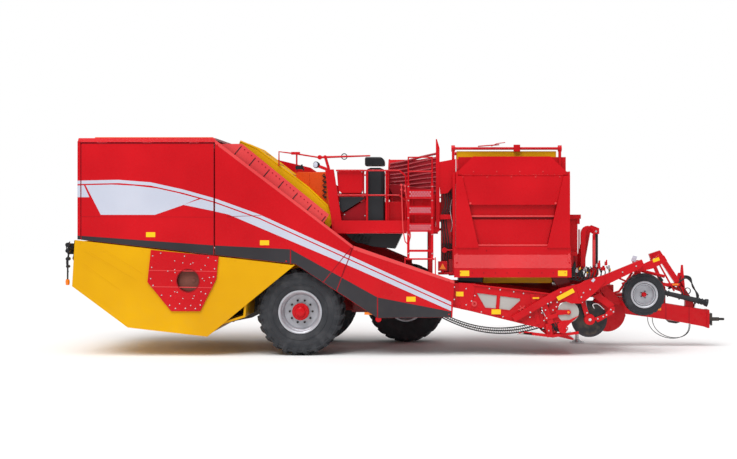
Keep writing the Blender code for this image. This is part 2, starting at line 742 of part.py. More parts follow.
# ---------------------------------------------------------------- bunker
def bunker():
    """The bunker's tub and the head that folds out over its left side."""
    rear, front = BUNKER_REAR, BUNKER_FRONT
    # y, z of the sheet that makes the right wall and the floor
    tub = [(-1.42, 3.40), (-1.28, 2.72), (-1.20, 2.02), (-0.75, 1.52), (0.10, 1.52), (0.98, 2.02)]
    end = [
        (-1.46, 3.42),
        (-1.46, 1.90),
        (-1.54, 1.74),
        (-1.54, 1.48),
        (0.10, 1.48),
        (1.02, 2.00),
        (1.02, 3.42),
    ]
    apron = [(-1.44, 2.03), (-1.44, 1.87), (-1.56, 1.63), (-1.56, 1.458)]
    # x, z of the plates on the outside of the right wall, and of the bracket that carries the lift cylinder
    top = [
        (rear + 0.03, 3.36),
        (rear + 0.03, 3.42),
        (1.254, 3.70),
        (2.687, 3.70),
        (front - 0.06, 3.42),
        (front - 0.06, 3.36),
    ]
    lower = [(rear, 3.34), (1.05, 3.34), (1.36, 2.00), (rear, 2.00)]
    x, z = LIFT_TOP
    arm = [
        (3.02, 1.62),
        (3.02, 1.86),
        (3.26, 1.86),
        (3.40, 2.34),
        (3.52, 2.42),
        (x + 0.06, 2.36),
        (x + 0.06, z - 0.05),
        (x - 0.06, z - 0.05),
        (3.50, 2.28),
        (3.38, 1.62),
    ]
    node(
        "bunker_tub",
        RED,
        slab(band(tub, 0.04), rear + 0.01, front - 0.01, END_VIEW),
        slab(end, rear, rear + 0.04, END_VIEW),
        slab(end, front - 0.04, front, END_VIEW),
        slab(band(apron, 0.03), rear - 0.035, front + 0.015, END_VIEW),
        slab(top, -1.44, -1.40),
        slab(lower, -1.475, -1.44),
        slab([(rear + front - u, v) for u, v in lower], -1.475, -1.44),
        slab(arm, LIFT_Y - 0.10, LIFT_Y - 0.06),
    )
    hinge_y, hinge_z = HEAD_HINGE
    inner, outer = rear + 0.06, front - 0.06
    sheet = [(hinge_y, hinge_z), (1.22, 2.70), (1.30, 3.86)]
    cheek = [
        (hinge_y - 0.02, hinge_z),
        (0.72, 3.30),
        (0.72, 3.55),
        (1.28, 3.86),
        (1.24, 2.70),
        (hinge_y + 0.03, hinge_z),
    ]
    node(
        "bunker_head",
        RED,
        slab(band(sheet, 0.05), inner + 0.01, outer - 0.01, END_VIEW),
        slab(cheek, inner, inner + 0.03, END_VIEW),
        slab(cheek, outer - 0.03, outer, END_VIEW),
        rod((rear + 0.03, 1.30, 3.88), (front - 0.03, 1.30, 3.88), 0.035, 12),
        rod((inner - 0.005, hinge_y, hinge_z), (outer + 0.005, hinge_y, hinge_z), 0.034, 12),
        body="bunker_side",
    )


# ---------------------------------------------------------------- digging unit
def digging_unit():
    """The swinging channel with its belt and shares, and the neck outside it that carries the discs."""
    pivot_x, pivot_z = INTAKE_PIVOT
    roller_x, roller_z = ROLLER
    # x, z of the side plate, and of the two windows cut in it
    plate = [
        (pivot_x - 0.12, pivot_z - 0.11),
        (pivot_x - 0.12, pivot_z + 0.14),
        (pivot_x + 0.10, 1.36),
        (1.245, 1.338),
        (2.806, 1.147),
        (2.86, 0.60),
        (2.60, 0.50),
        (2.20, 0.586),
        (1.195, 0.834),
        (0.80, 0.92),
    ]
    windows = [
        [(1.308, 1.175), (1.692, 1.125), (1.671, 0.877), (1.471, 0.892)],
        [(1.747, 1.118), (2.124, 1.068), (2.124, 1.025), (1.925, 0.845), (1.727, 0.869)],
    ]
    right, left = INTAKE_RIGHT, INTAKE_LEFT
    blade = [(2.66, 0.50), (2.90, 0.44), (3.14, 0.30), (3.10, 0.29), (2.60, 0.40), (2.52, 0.46)]
    shares = [slab(blade, y - 0.27, y + 0.27) for y in (right + 0.34, left - 0.34)]
    node(
        "intake_channel",
        RED,
        block((2.60, right - 0.012, 0.42), (2.74, left + 0.012, 0.53)),
        *shares,
        slab([plate, *windows], right - 0.02, right + 0.02),
        slab(plate, left - 0.02, left + 0.02),
        rod((pivot_x, right, pivot_z), (pivot_x, left, pivot_z), 0.05, 12),
        rod((1.12, right, 1.08), (1.12, left, 1.08), 0.04, 10),
        rod((roller_x, right, roller_z), (roller_x, left, roller_z), 0.05, 12),
        body="digging_front",
    )
    node(
        "digging_web",
        STEEL,
        slab(band(hanging_belt(), 0.022, True), right + 0.04, left - 0.04),
        body="digging_front",
    )
    # x, z of the long neck outside the right-hand plate
    neck = [
        (1.96, 0.74),
        (2.02, 0.64),
        (2.80, 1.08),
        (3.05, 0.98),
        (3.24, 0.98),
        (3.36, 1.12),
        (3.62, 1.28),
        (4.32, 1.62),
        (4.40, 1.70),
        (4.36, 1.79),
        (3.58, 1.47),
        (3.20, 1.34),
        (2.86, 1.26),
        (2.70, 1.18),
    ]
    # x, z of the ear that the lift cylinder holds
    ear = [(3.42, 1.34), (3.44, 1.56), (3.56, 1.62), (3.66, 1.62), (3.66, 1.48), (3.56, 1.34)]
    pin_x, pin_z = DEPTH_PIVOT
    beam_x, beam_z = 3.50, 1.34
    node(
        "swan_neck",
        RED,
        slab(neck, -1.61, right - 0.0205),
        block((2.95, -1.60, 1.06), (3.05, -0.30, 1.16)),
        block((beam_x - 0.07, -1.56, beam_z - 0.07), (beam_x + 0.07, -0.30, beam_z + 0.07)),
        rod((pin_x, -1.58, pin_z), (pin_x, -1.06, pin_z), 0.04, 12),
        slab(ear, LIFT_Y - 0.085, LIFT_Y - 0.045),
        slab(band([(2.95, 1.1), (2.78, 0.98)], 0.14), left - 0.07, left - 0.0205),
        *disc_arms(beam_x, beam_z),
        body="digging_front",
    )
    discs()
    depth_wheel()


def hanging_belt():
    """The belt's line seen from the side: tight above its two rollers, and hanging below them."""
    line = []
    # centre, radius and the angles where the belt's line has a point
    turns = ((INTAKE_PIVOT, 0.10, (250, 215, 180, 145, 110, 80)), (ROLLER, 0.09, (75, 35, -5, -45, -85)))
    for (x, z), radius, angles in turns:
        for angle in angles:
            turn = math.radians(angle)
            line.append((x + radius * math.cos(turn), z + radius * math.sin(turn)))
    start, end = Vector(line[-1]), Vector(line[0])
    sag = (start.y + end.y) / 2 - BELT_LOW
    runs = 12
    for i in range(1, runs):
        share = i / runs
        x, z = start.lerp(end, share)
        line.append((x, z - 4 * share * (1 - share) * sag))
    return line


def disc_arms(beam_x, beam_z):
    """The shapes of the arms that carry the discs."""
    shapes = []
    for name, x, z, y, _, _ in DISCS:
        side = 1 if name == "right" else -1
        plate = y + side * 0.055
        low, high = sorted((plate, plate + side * 0.04))
        bend = (max(x, beam_x) + 0.20, 0.95)
        shapes.append(slab(band([(beam_x, beam_z), bend, (x, z)], 0.09), low, high))
        shapes.append(rod((x, plate + side * 0.02, z), (x, y + side * 0.028, z), 0.05, 12))
    return shapes


def discs():
    """Two slightly dished discs, each with its hub."""
    for name, x, z, y, radius, finish in DISCS:
        side = 1 if name == "right" else -1
        profile = [
            (0, -0.035),
            (0.07, -0.035),
            (0.09, -0.008),
            (radius - 0.03, -0.006),
            (radius, 0.0),
            (radius - 0.03, 0.006),
            (0.09, 0.008),
            (0.07, 0.018),
            (0, 0.018),
        ]
        node(f"disc_{name}", finish, turned(profile, (x, y, z), (0, side, 0), 28), body=f"{name}_disc")


def depth_wheel():
    """The small wheel that sets the digging depth, on its arm."""
    pivot_x, pivot_z = DEPTH_PIVOT
    x, z = DEPTH_WHEEL
    arm_low, arm_high = -1.05, -0.99
    node(
        "depth_arm",
        RED,
        slab(band([(pivot_x, pivot_z + 0.06), (x, z - 0.06)], 0.12), arm_low, arm_high),
        rod((x, arm_high - 0.01, z), (x, DEPTH_Y - 0.02, z), 0.025, 12),
        rod((pivot_x, arm_low, pivot_z), (pivot_x, arm_high + 0.04, pivot_z), 0.05, 12),
        body="depth_wheel_arm",
    )
    centre = (x, DEPTH_Y, z)
    seat = 0.205
    tyre("tyre_depth", centre, DEPTH_RADIUS, 0.24, seat, DEPTH_STEPS, "depth_wheel")
    outer, half, bore = seat - 0.001, 0.11, 0.032
    inner = outer - 0.015
    # radius, distance outwards along the axle
    profile = [
        (0, 0.05),
        (0.05, 0.05),
        (0.05, 0.02),
        (0.17, 0.02),
        (inner, 0.04),
        (inner, half),
        (outer, half),
        (outer, -half),
        (inner, -half),
        (inner, 0.0),
        (bore, 0.0),
        (bore, 0.03),
        (0, 0.03),
    ]
    phase = math.pi / 2 + math.pi / DEPTH_STEPS
    node("rim_depth", GREY, turned(profile, centre, (0, -1, 0), DEPTH_STEPS, phase), body="depth_wheel")


# ---------------------------------------------------------------- cylinders
def cylinder(name, start, end, radius, sheath, inner, bodies):
    """A hydraulic cylinder from its fixed eye to its rod's eye.

    sheath is where the barrel ends and inner is where the rod begins, both measured from the fixed eye.
    bodies names the barrel's body and the rod's.
    """
    barrel_body, rod_body = bodies
    start, end = Vector(start), Vector(end)
    along = (end - start).normalized()
    across = Vector((0, 1, 0)) if abs(along.z) > 0.5 else Vector((0, 0, 1))
    bore, half = radius * 0.72, radius * 0.55
    barrel = turned([(radius, 0.02), (radius, sheath), (bore, sheath), (bore, 0.02)], start, along, 14)
    cap = rod(start + along * 0.015, start + along * 0.12, radius, 14)
    eye = rod(start - across * half, start + across * half, 0.035, 12)
    node(f"{name}_barrel", BLACK, barrel, cap, eye, body=barrel_body)
    node(
        f"{name}_rod",
        STEEL,
        rod(start + along * inner, end - along * 0.01, radius * 0.55, 12),
        rod(end - across * half, end + across * half, 0.035, 12),
        body=rod_body,
    )


def cylinders():
    """The cylinder that lifts the digging front, and the one that swings the drawbar."""
    top = (LIFT_TOP[0], LIFT_Y, LIFT_TOP[1])
    foot = (LIFT_FOOT[0], LIFT_Y, LIFT_FOOT[1])
    cylinder("lift_cylinder", top, foot, 0.05, 0.62, 0.14, ("lift_barrel", "lift_rod"))
    bodies = ("swing_barrel", "swing_rod")
    cylinder("swing_cylinder", (*SWING_FOOT, SWING_Z), (*DRAWBAR_EAR, SWING_Z), 0.045, 0.85, 0.26, bodies)


# ---------------------------------------------------------------- drawbar
def drawbar():
    """The swinging drawbar with its mast, hitch ring and drive shaft."""
    pivot_x, y = DRAWBAR_PIVOT
    # x, z of the drawbar's box section
    rear = pivot_x - 0.10
    beam = [
        (rear, 0.92),
        (5.14, 0.856),
        (DRAWBAR_END, 0.72),
        (DRAWBAR_END, 0.377),
        (5.20, 0.53),
        (rear, 0.68),
    ]
    mast = [(5.62, 0.90), (5.00, 1.84), (4.82, 1.78)]
    ear_x, ear_y = DRAWBAR_EAR
    node(
        "drawbar",
        RED,
        slab(beam, y - 0.12, y + 0.12),
        rod((pivot_x, y, 0.652), (pivot_x, y, 0.985), 0.10, 16),
        block((ear_x - 0.05, y + 0.10, SWING_Z - 0.085), (ear_x + 0.05, ear_y + 0.04, SWING_Z - 0.045)),
        slab(band(mast, 0.11), y - 0.05, y + 0.05),
        slab(band([(5.60, 0.98), (5.60, 0.70)], 0.16), y - 0.06, y + 0.06),
        slab(band([(4.86, 1.74), (5.10, 1.16), (5.10, 0.80)], 0.07), y - 0.03, y + 0.03),
        slab(band([(5.10, 1.24), (5.50, 1.09)], 0.06), y - 0.024, y + 0.024),
        slab([(5.45, 1.06), (5.43, 1.46), (5.39, 1.46), (5.33, 1.25)], y - 0.02, y + 0.02),
        block((4.92, y - SHAFT_OFFSET - 0.07, 1.02), (5.00 - 0.014, y + 0.05, 1.17)),
        block((4.93, y - 0.05, 0.80), (4.97, y + 0.045, 1.10)),
        body="tow_bar",
    )
    ring_x, hitch_z, bore = 6.25, 0.54, 0.035
    ring = [(bore, -0.02), (0.060, -0.02), (0.060, 0.02), (bore, 0.02)]
    shank = [(6.04, y - 0.05), (6.04, y + 0.05), (6.20, y + 0.03), (6.20, y - 0.03)]
    node(
        "hitch_eye",
        BLACK,
        block((DRAWBAR_END + GAP, y - 0.10, hitch_z - 0.12), (6.05, y + 0.10, hitch_z + 0.12)),
        slab(shank, hitch_z - 0.035, hitch_z + 0.035, TOP_VIEW),
        turned(ring, (ring_x, y, hitch_z), (0, 0, 1), 20),
        cut=[rod((ring_x, y, 0.4), (ring_x, y, 0.7), bore, 20)],
        body="tow_bar",
    )
    side = y - SHAFT_OFFSET
    shaft = rod((5.00, side, 1.094), (5.95, side, 0.866), 0.045, 14, 0.055)
    node("drive_shaft", PLASTIC, shaft, body="tow_bar")


# ---------------------------------------------------------------- small pieces
def rear_lamps():
    """The bar across the rear, with a lamp box and a stalk near each end."""
    shapes = [block((-6.24, -1.30, 1.93), (-6.18, 1.30, 2.02))]
    shapes += [block((-6.185, y - 0.04, 1.90), (-6.13, y + 0.04, 2.0)) for y in (-0.8, 0.8)]
    for side in (-1, 1):
        y = side * 1.22
        shapes.append(block((-6.31, y - 0.14, 1.88), (-6.20, y + 0.14, 2.08)))
        shapes.append(rod((-6.21, y, 1.95), (-6.21, y, 1.42), 0.022, 8))
        shapes.append(rod((-6.21, y, 1.46), (-6.21, y, 1.30), 0.035, 10))
    node("rear_lamp_bar", BLACK, *shapes)


CABLES = (  # name, start x, end x, lowest z, y
    ("right", 4.774, 5.600, 0.165, -0.05),
    ("left", 4.884, 5.640, 0.165, 0.05),
)


def hanging_cables():
    """Two thin leads that hang in a loop from the drawbar's underside."""
    _, y = DRAWBAR_PIVOT
    for name, start, end, low, shift in CABLES:
        points = cable_route(start, end, low, y + shift)
        node(f"cable_{name}", RUBBER, tube(points, 0.007, 2), body="tow_bar")


def drawbar_underside(x):
    """Height of the drawbar's lower face."""
    rear, front = (4.10, 0.68), (5.20, 0.53)
    if x > front[0]:
        rear, front = front, (DRAWBAR_END, 0.377)
    return rear[1] + (x - rear[0]) / (front[0] - rear[0]) * (front[1] - rear[1])


def cable_route(start, end, low, y):
    """A hanging loop from one place under the drawbar to another, down to low."""
    count = 28
    points = []
    top = (drawbar_underside(start) - 0.010, drawbar_underside(end) - 0.010)
    for i in range(count + 1):
        t = i / count
        x = start + (end - start) * (0.5 - 0.5 * math.cos(math.pi * t)) ** 0.9
        chord = top[0] + t * (top[1] - top[0])
        depth = (top[0] + top[1]) / 2 - low
        points.append((x, y, chord - depth * math.sin(math.pi * t) ** 0.8))
    return points


def main():
    """Builds the sub-assemblies."""
    chassis()
    main_wheels()
    rear_separator()
    channel()
    picking_platform()
    bunker()
    digging_unit()
    cylinders()
    drawbar()
    rear_lamps()
    hanging_cables()


clear_scene()
MACHINE = collection("potato_harvester")
SHAPES = collection("shapes", hidden=True)
PIVOTS = pivots()
main()
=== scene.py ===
"""Looks of a towed potato harvester: paint, stripes, tyres, webs, rails and small fittings.

Everything is in metres in the machine's own frame: +X forward, +Y left, +Z up.
"""

import functools
import json
import logging
import math
from dataclasses import dataclass, field
from enum import Enum
from typing import Any, Iterable, Sequence

import bmesh
import bpy
from mathutils import Matrix, Vector

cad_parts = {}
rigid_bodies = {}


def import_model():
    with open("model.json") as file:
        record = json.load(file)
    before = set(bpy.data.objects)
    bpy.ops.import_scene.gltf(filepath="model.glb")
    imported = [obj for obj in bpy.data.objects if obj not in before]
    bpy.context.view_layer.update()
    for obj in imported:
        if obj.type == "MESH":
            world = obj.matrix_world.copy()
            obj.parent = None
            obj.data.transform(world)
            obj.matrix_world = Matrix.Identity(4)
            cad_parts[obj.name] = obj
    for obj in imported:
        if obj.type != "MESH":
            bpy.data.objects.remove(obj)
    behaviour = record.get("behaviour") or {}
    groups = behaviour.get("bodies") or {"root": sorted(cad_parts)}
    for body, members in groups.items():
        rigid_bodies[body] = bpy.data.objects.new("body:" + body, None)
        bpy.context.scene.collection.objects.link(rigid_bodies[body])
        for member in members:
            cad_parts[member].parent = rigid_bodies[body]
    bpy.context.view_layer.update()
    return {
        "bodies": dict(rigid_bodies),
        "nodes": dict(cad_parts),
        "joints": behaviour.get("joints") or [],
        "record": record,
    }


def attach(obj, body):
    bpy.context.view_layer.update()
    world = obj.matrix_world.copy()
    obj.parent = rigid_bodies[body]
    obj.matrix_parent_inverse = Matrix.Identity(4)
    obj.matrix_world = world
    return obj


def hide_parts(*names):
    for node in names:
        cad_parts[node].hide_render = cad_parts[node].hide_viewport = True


Point = Sequence[float]
Colour = tuple[float, float, float]
log = logging.getLogger("harvester")

SIDE = -1.62  # outer face of the right-hand panels
LIFT = 0.0015  # how far paint stripes stand off what they are on


class Plane(Enum):
    """The plane that a flat outline is drawn in."""

    SIDE = "x z"
    END = "y z"

    def place(self, u: float, v: float, depth: float) -> Vector:
        """Turns a point of an outline into a point in space.

        Args:
            u: the outline's first coordinate.
            v: its second.
            depth: distance along the third axis.

        Returns:
            The point in space.
        """
        if self is Plane.SIDE:
            return Vector((u, depth, v))
        return Vector((depth, u, v))


# ---------------------------------------------------------------- shader maths
class Signal:
    """A socket whose value can be used in a Python expression."""

    def __init__(self, recipe: "Recipe", socket: bpy.types.NodeSocket) -> None:
        """Keeps the socket and the recipe that it belongs to."""
        self.recipe = recipe
        self.socket = socket

    def __add__(self, other: Any) -> "Signal":
        """self + other"""
        return self.recipe.maths("ADD", self, other)

    __radd__ = __add__

    def __sub__(self, other: Any) -> "Signal":
        """self - other"""
        return self.recipe.maths("SUBTRACT", self, other)

    def __rsub__(self, other: Any) -> "Signal":
        """other - self"""
        return self.recipe.maths("SUBTRACT", other, self)

    def __mul__(self, other: Any) -> "Signal":
        """self * other"""
        return self.recipe.maths("MULTIPLY", self, other)

    __rmul__ = __mul__

    def __truediv__(self, other: Any) -> "Signal":
        """self / other"""
        return self.recipe.maths("DIVIDE", self, other)

    def clamped(self) -> "Signal":
        """The value held between 0 and 1."""
        return self.recipe.maths("MAXIMUM", self.recipe.maths("MINIMUM", self, 1.0), 0.0)


class Recipe:
    """Builds one material's nodes."""

    def __init__(self, name: str) -> None:
        """Starts an empty material with a Principled shader.

        Args:
            name: the material's name.
        """
        self.material = bpy.data.materials.new(name)
        self.material.use_nodes = True
        self.tree = self.material.node_tree
        self.shader = self.tree.nodes["Principled BSDF"]

    def node(self, kind: str, settings: dict[str, Any], sockets: dict[Any, Any]) -> bpy.types.Node:
        """Adds a node.

        Args:
            kind: the node's type, such as ShaderNodeTexNoise.
            settings: properties to set first.
            sockets: input names or numbers, each with a value or a Signal.

        Returns:
            The node.
        """
        made = self.tree.nodes.new(kind)
        for key, value in settings.items():
            if key == "stops":
                for place, colour in value:
                    made.color_ramp.elements.new(place).color = (*colour, 1.0)
                made.color_ramp.elements.remove(made.color_ramp.elements[0])
                made.color_ramp.elements.remove(made.color_ramp.elements[-1])
            else:
                setattr(made, key, value)
        for key, value in sockets.items():
            if isinstance(value, Signal):
                self.tree.links.new(value.socket, made.inputs[key])
            else:
                made.inputs[key].default_value = value
        return made

    def maths(self, operation: str, first: Any, second: Any) -> Signal:
        """Adds a Math node for two values."""
        made = self.node("ShaderNodeMath", {"operation": operation}, {0: first, 1: second})
        return Signal(self, made.outputs[0])

    def place(self, scale: Point = (1, 1, 1)) -> Signal:
        """The point in the machine's frame, stretched by scale.

        Args:
            scale: factor along each axis.

        Returns:
            The point, as a signal.
        """
        where = self.node("ShaderNodeTexCoord", {}, {})
        made = self.node(
            "ShaderNodeVectorMath",
            {"operation": "MULTIPLY"},
            {0: Signal(self, where.outputs["Object"]), 1: tuple(scale)},
        )
        return Signal(self, made.outputs[0])

    def axis(self, letter: str) -> Signal:
        """One coordinate of the point in the machine's frame."""
        made = self.node("ShaderNodeSeparateXYZ", {}, {0: self.place()})
        return Signal(self, made.outputs[letter])

    def noise(self, scale: float, detail: float = 3.0, stretch: Point = (1, 1, 1)) -> Signal:
        """Smooth noise between about 0.25 and 0.75.

        Args:
            scale: how fine the noise is.
            detail: octaves of finer noise.
            stretch: factor along each axis.

        Returns:
            The noise, as a signal.
        """
        made = self.node(
            "ShaderNodeTexNoise", {}, {"Vector": self.place(stretch), "Scale": scale, "Detail": detail}
        )
        return Signal(self, made.outputs[0])

    def mix(self, low: Any, high: Any, factor: Any) -> Signal:
        """A colour between two others.

        Args:
            low: colour where the factor is 0.
            high: colour where it is 1.
            factor: share of the second colour.

        Returns:
            The mixed colour.
        """
        sockets = {0: factor, 6: _rgba(low), 7: _rgba(high)}
        made = self.node("ShaderNodeMix", {"data_type": "RGBA"}, sockets)
        return Signal(self, made.outputs[2])

    def bump(self, height: Signal, distance: float, strength: float = 1.0) -> Signal:
        """A normal from a height that is read in metres times distance."""
        sockets = {"Height": height, "Distance": distance, "Strength": strength}
        return Signal(self, self.node("ShaderNodeBump", {}, sockets).outputs[0])

    def finish(self, **sockets: Any) -> bpy.types.Material:
        """Sets the shader's own sockets, whose names are given with _ for a space.

        Args:
            **sockets: values or signals by socket name.

        Returns:
            The finished material.
        """
        for key, value in sockets.items():
            target = self.shader.inputs[key.replace("_", " ")]
            if isinstance(value, Signal):
                self.tree.links.new(value.socket, target)
            else:
                target.default_value = value
        return self.material


def _rgba(colour: Any) -> Any:
    """A colour with its alpha, or the Signal as it is."""
    return colour if isinstance(colour, Signal) else (*colour, 1.0)


@dataclass(frozen=True)
class Paint:
    """Sprayed enamel with a slight fade, orange peel and road dust low down."""

    name: str
    slot: str
    colour: Colour
    deep: Colour
    roughness: float = 0.28
    coat: float = 0.12
    dust: float = 0.06
    gloss: float = 0.12

    def material(self) -> bpy.types.Material:
        """Builds the material.

        Returns:
            The new material.
        """
        recipe = Recipe(self.name)
        fade = ((recipe.noise(0.9, 2.0) - 0.35) * 2.6).clamped()
        base = recipe.mix(self.deep, self.colour, fade)
        low = (1.0 - recipe.axis("Z") / 1.5).clamped()
        speck = ((recipe.noise(7.0, 6.0) - 0.42) * 3.0).clamped()
        dirt = low * speck * self.dust
        base = recipe.mix(base, (0.30, 0.22, 0.15), dirt)
        rough = self.roughness + dirt * 0.8 + (recipe.noise(3.5, 4.0) - 0.5) * 0.12
        peel = recipe.bump(recipe.noise(140.0, 2.0), 0.0006, 0.5)
        return recipe.finish(
            Base_Color=base,
            Roughness=rough,
            Normal=peel,
            Coat_Weight=self.coat,
            Coat_Roughness=0.08,
            Specular_IOR_Level=self.gloss,
        )


@dataclass(frozen=True)
class Rubber:
    """Tyre rubber, a little brown and duller where soil has dried on it."""

    name: str
    slot: str
    colour: Colour = (0.030, 0.032, 0.037)
    soil: float = 0.12

    def material(self) -> bpy.types.Material:
        """Builds the material.

        Returns:
            The new material.
        """
        recipe = Recipe(self.name)
        patch = ((recipe.noise(5.0, 6.0) - 0.45) * 2.5).clamped()
        base = recipe.mix(self.colour, tuple(c * 1.9 + 0.012 for c in self.colour), patch * 0.8)
        base = recipe.mix(base, (0.13, 0.115, 0.10), patch * self.soil)
        fine = recipe.bump(recipe.noise(60.0, 5.0), 0.003, 0.7)
        return recipe.finish(
            Base_Color=base, Roughness=0.62 + patch * 0.22, Normal=fine, Specular_IOR_Level=0.25
        )


@dataclass(frozen=True)
class Metal:
    """Bare, plated or silver-painted metal with fine scratches."""

    name: str
    slot: str
    colour: Colour = (0.55, 0.56, 0.58)
    metallic: float = 0.85
    roughness: float = 0.32
    stretch: Point = (1.0, 1.0, 1.0)

    def material(self) -> bpy.types.Material:
        """Builds the material.

        Returns:
            The new material.
        """
        recipe = Recipe(self.name)
        stain = ((recipe.noise(6.0, 5.0) - 0.40) * 2.2).clamped()
        base = recipe.mix(self.colour, tuple(c * 0.72 for c in self.colour), stain)
        scratch = recipe.noise(220.0, 3.0, self.stretch)
        rough = self.roughness + stain * 0.12 + (scratch - 0.5) * 0.15
        fine = recipe.bump(scratch, 0.0004, 0.5)
        return recipe.finish(Base_Color=base, Metallic=self.metallic, Roughness=rough, Normal=fine)


class Finishes:
    """Every finish on the machine, built once."""

    def __init__(self) -> None:
        """Builds the materials and keeps the record's slot of each."""
        red, deep = (0.60, 0.005, 0.011), (0.50, 0.003, 0.008)
        recipes = [
            Paint("red_enamel", "red_paint", red, deep),
            Paint("frame_red", "dark_red_paint", (0.42, 0.008, 0.012), (0.25, 0.005, 0.008), 0.4, 0.3, 0.5),
            # Lighter copy of the red paint: painted highlight on upward-facing edges, folds, ledges, bolts,
            # the flap strip and the hand grips.
            Paint("painted_highlight_red", "red_paint", (0.74, 0.075, 0.075), (0.66, 0.05, 0.055), 0.34),
            # Dark red for seams, joints and small dark parts; also painted shadow in the gap under the
            # bunker wall's ledge.
            Paint("seam_and_shadow_red", "red_paint", (0.33, 0.002, 0.010), (0.26, 0.001, 0.006), 0.45, 0.2),
            Paint("orange_enamel", "orange_red_paint", (0.80, 0.10, 0.010), (0.68, 0.06, 0.008), 0.32),
            Paint("yellow_enamel", "yellow_paint", (0.74, 0.39, 0.0), (0.66, 0.33, 0.0), 0.42, 0.05),
            Paint("label_yellow", "yellow_paint", (0.95, 0.58, 0.01), (0.90, 0.50, 0.01), 0.4, 0.3),
            Paint("wine_cloth", "dark_red_paint", (0.36, 0.012, 0.022), (0.26, 0.006, 0.014), 0.4, 0.2),
            Paint("fan_brown", "silver_paint", (0.24, 0.085, 0.06), (0.18, 0.06, 0.045), 0.45, 0.1),
            Paint("stripe_grey", "black_steel", (0.040, 0.038, 0.043), (0.030, 0.028, 0.032), 0.38, 0.1),
            Paint("stripe_light", "silver_paint", (0.56, 0.585, 0.68), (0.50, 0.53, 0.63), 0.3, 0.3),
            Paint("window_grey", "silver_paint", (0.46, 0.44, 0.42), (0.38, 0.36, 0.34), 0.45, 0.1),
            # Black enamel of the black parts; also painted shade on the plate under the belly trough.
            Paint(
                "black_enamel_and_shade", "black_steel", (0.022, 0.022, 0.025), (0.012, 0.012, 0.014), 0.36, 0.3, 0.5
            ),
            Paint("duct_plastic", "black_plastic", (0.035, 0.037, 0.042), (0.02, 0.021, 0.024), 0.42, 0.2),
            Paint("lamp_orange", "orange_red_paint", (0.95, 0.25, 0.0), (0.85, 0.18, 0.0), 0.18, 0.8),
            Rubber("tyre_rubber_dark", "tyre_rubber"),
            Rubber("hose_rubber", "black_plastic", (0.018, 0.018, 0.02), 0.15),
            Metal("rim_silver", "silver_paint", (0.50, 0.51, 0.55), 0.35, 0.34),
            Metal("bright_rod", "bright_steel", (0.70, 0.70, 0.72), 1.0, 0.16),
            Metal("web_steel", "bright_steel", (0.42, 0.41, 0.40), 0.9, 0.4),
            Metal("dark_web", "black_steel", (0.06, 0.06, 0.062), 0.6, 0.5),
        ]
        self.made = {r.name: r.material() for r in recipes}
        self.slots = {r.name: r.slot for r in recipes}

    def dress(self, obj: bpy.types.Object, name: str) -> None:
        """Gives an object one finish."""
        obj.data.materials.clear()
        obj.data.materials.append(self.made[name])


# ---------------------------------------------------------------- mesh building
@functools.cache
def palette() -> Finishes:
    """The one set of finishes that every piece draws on."""
    return Finishes()


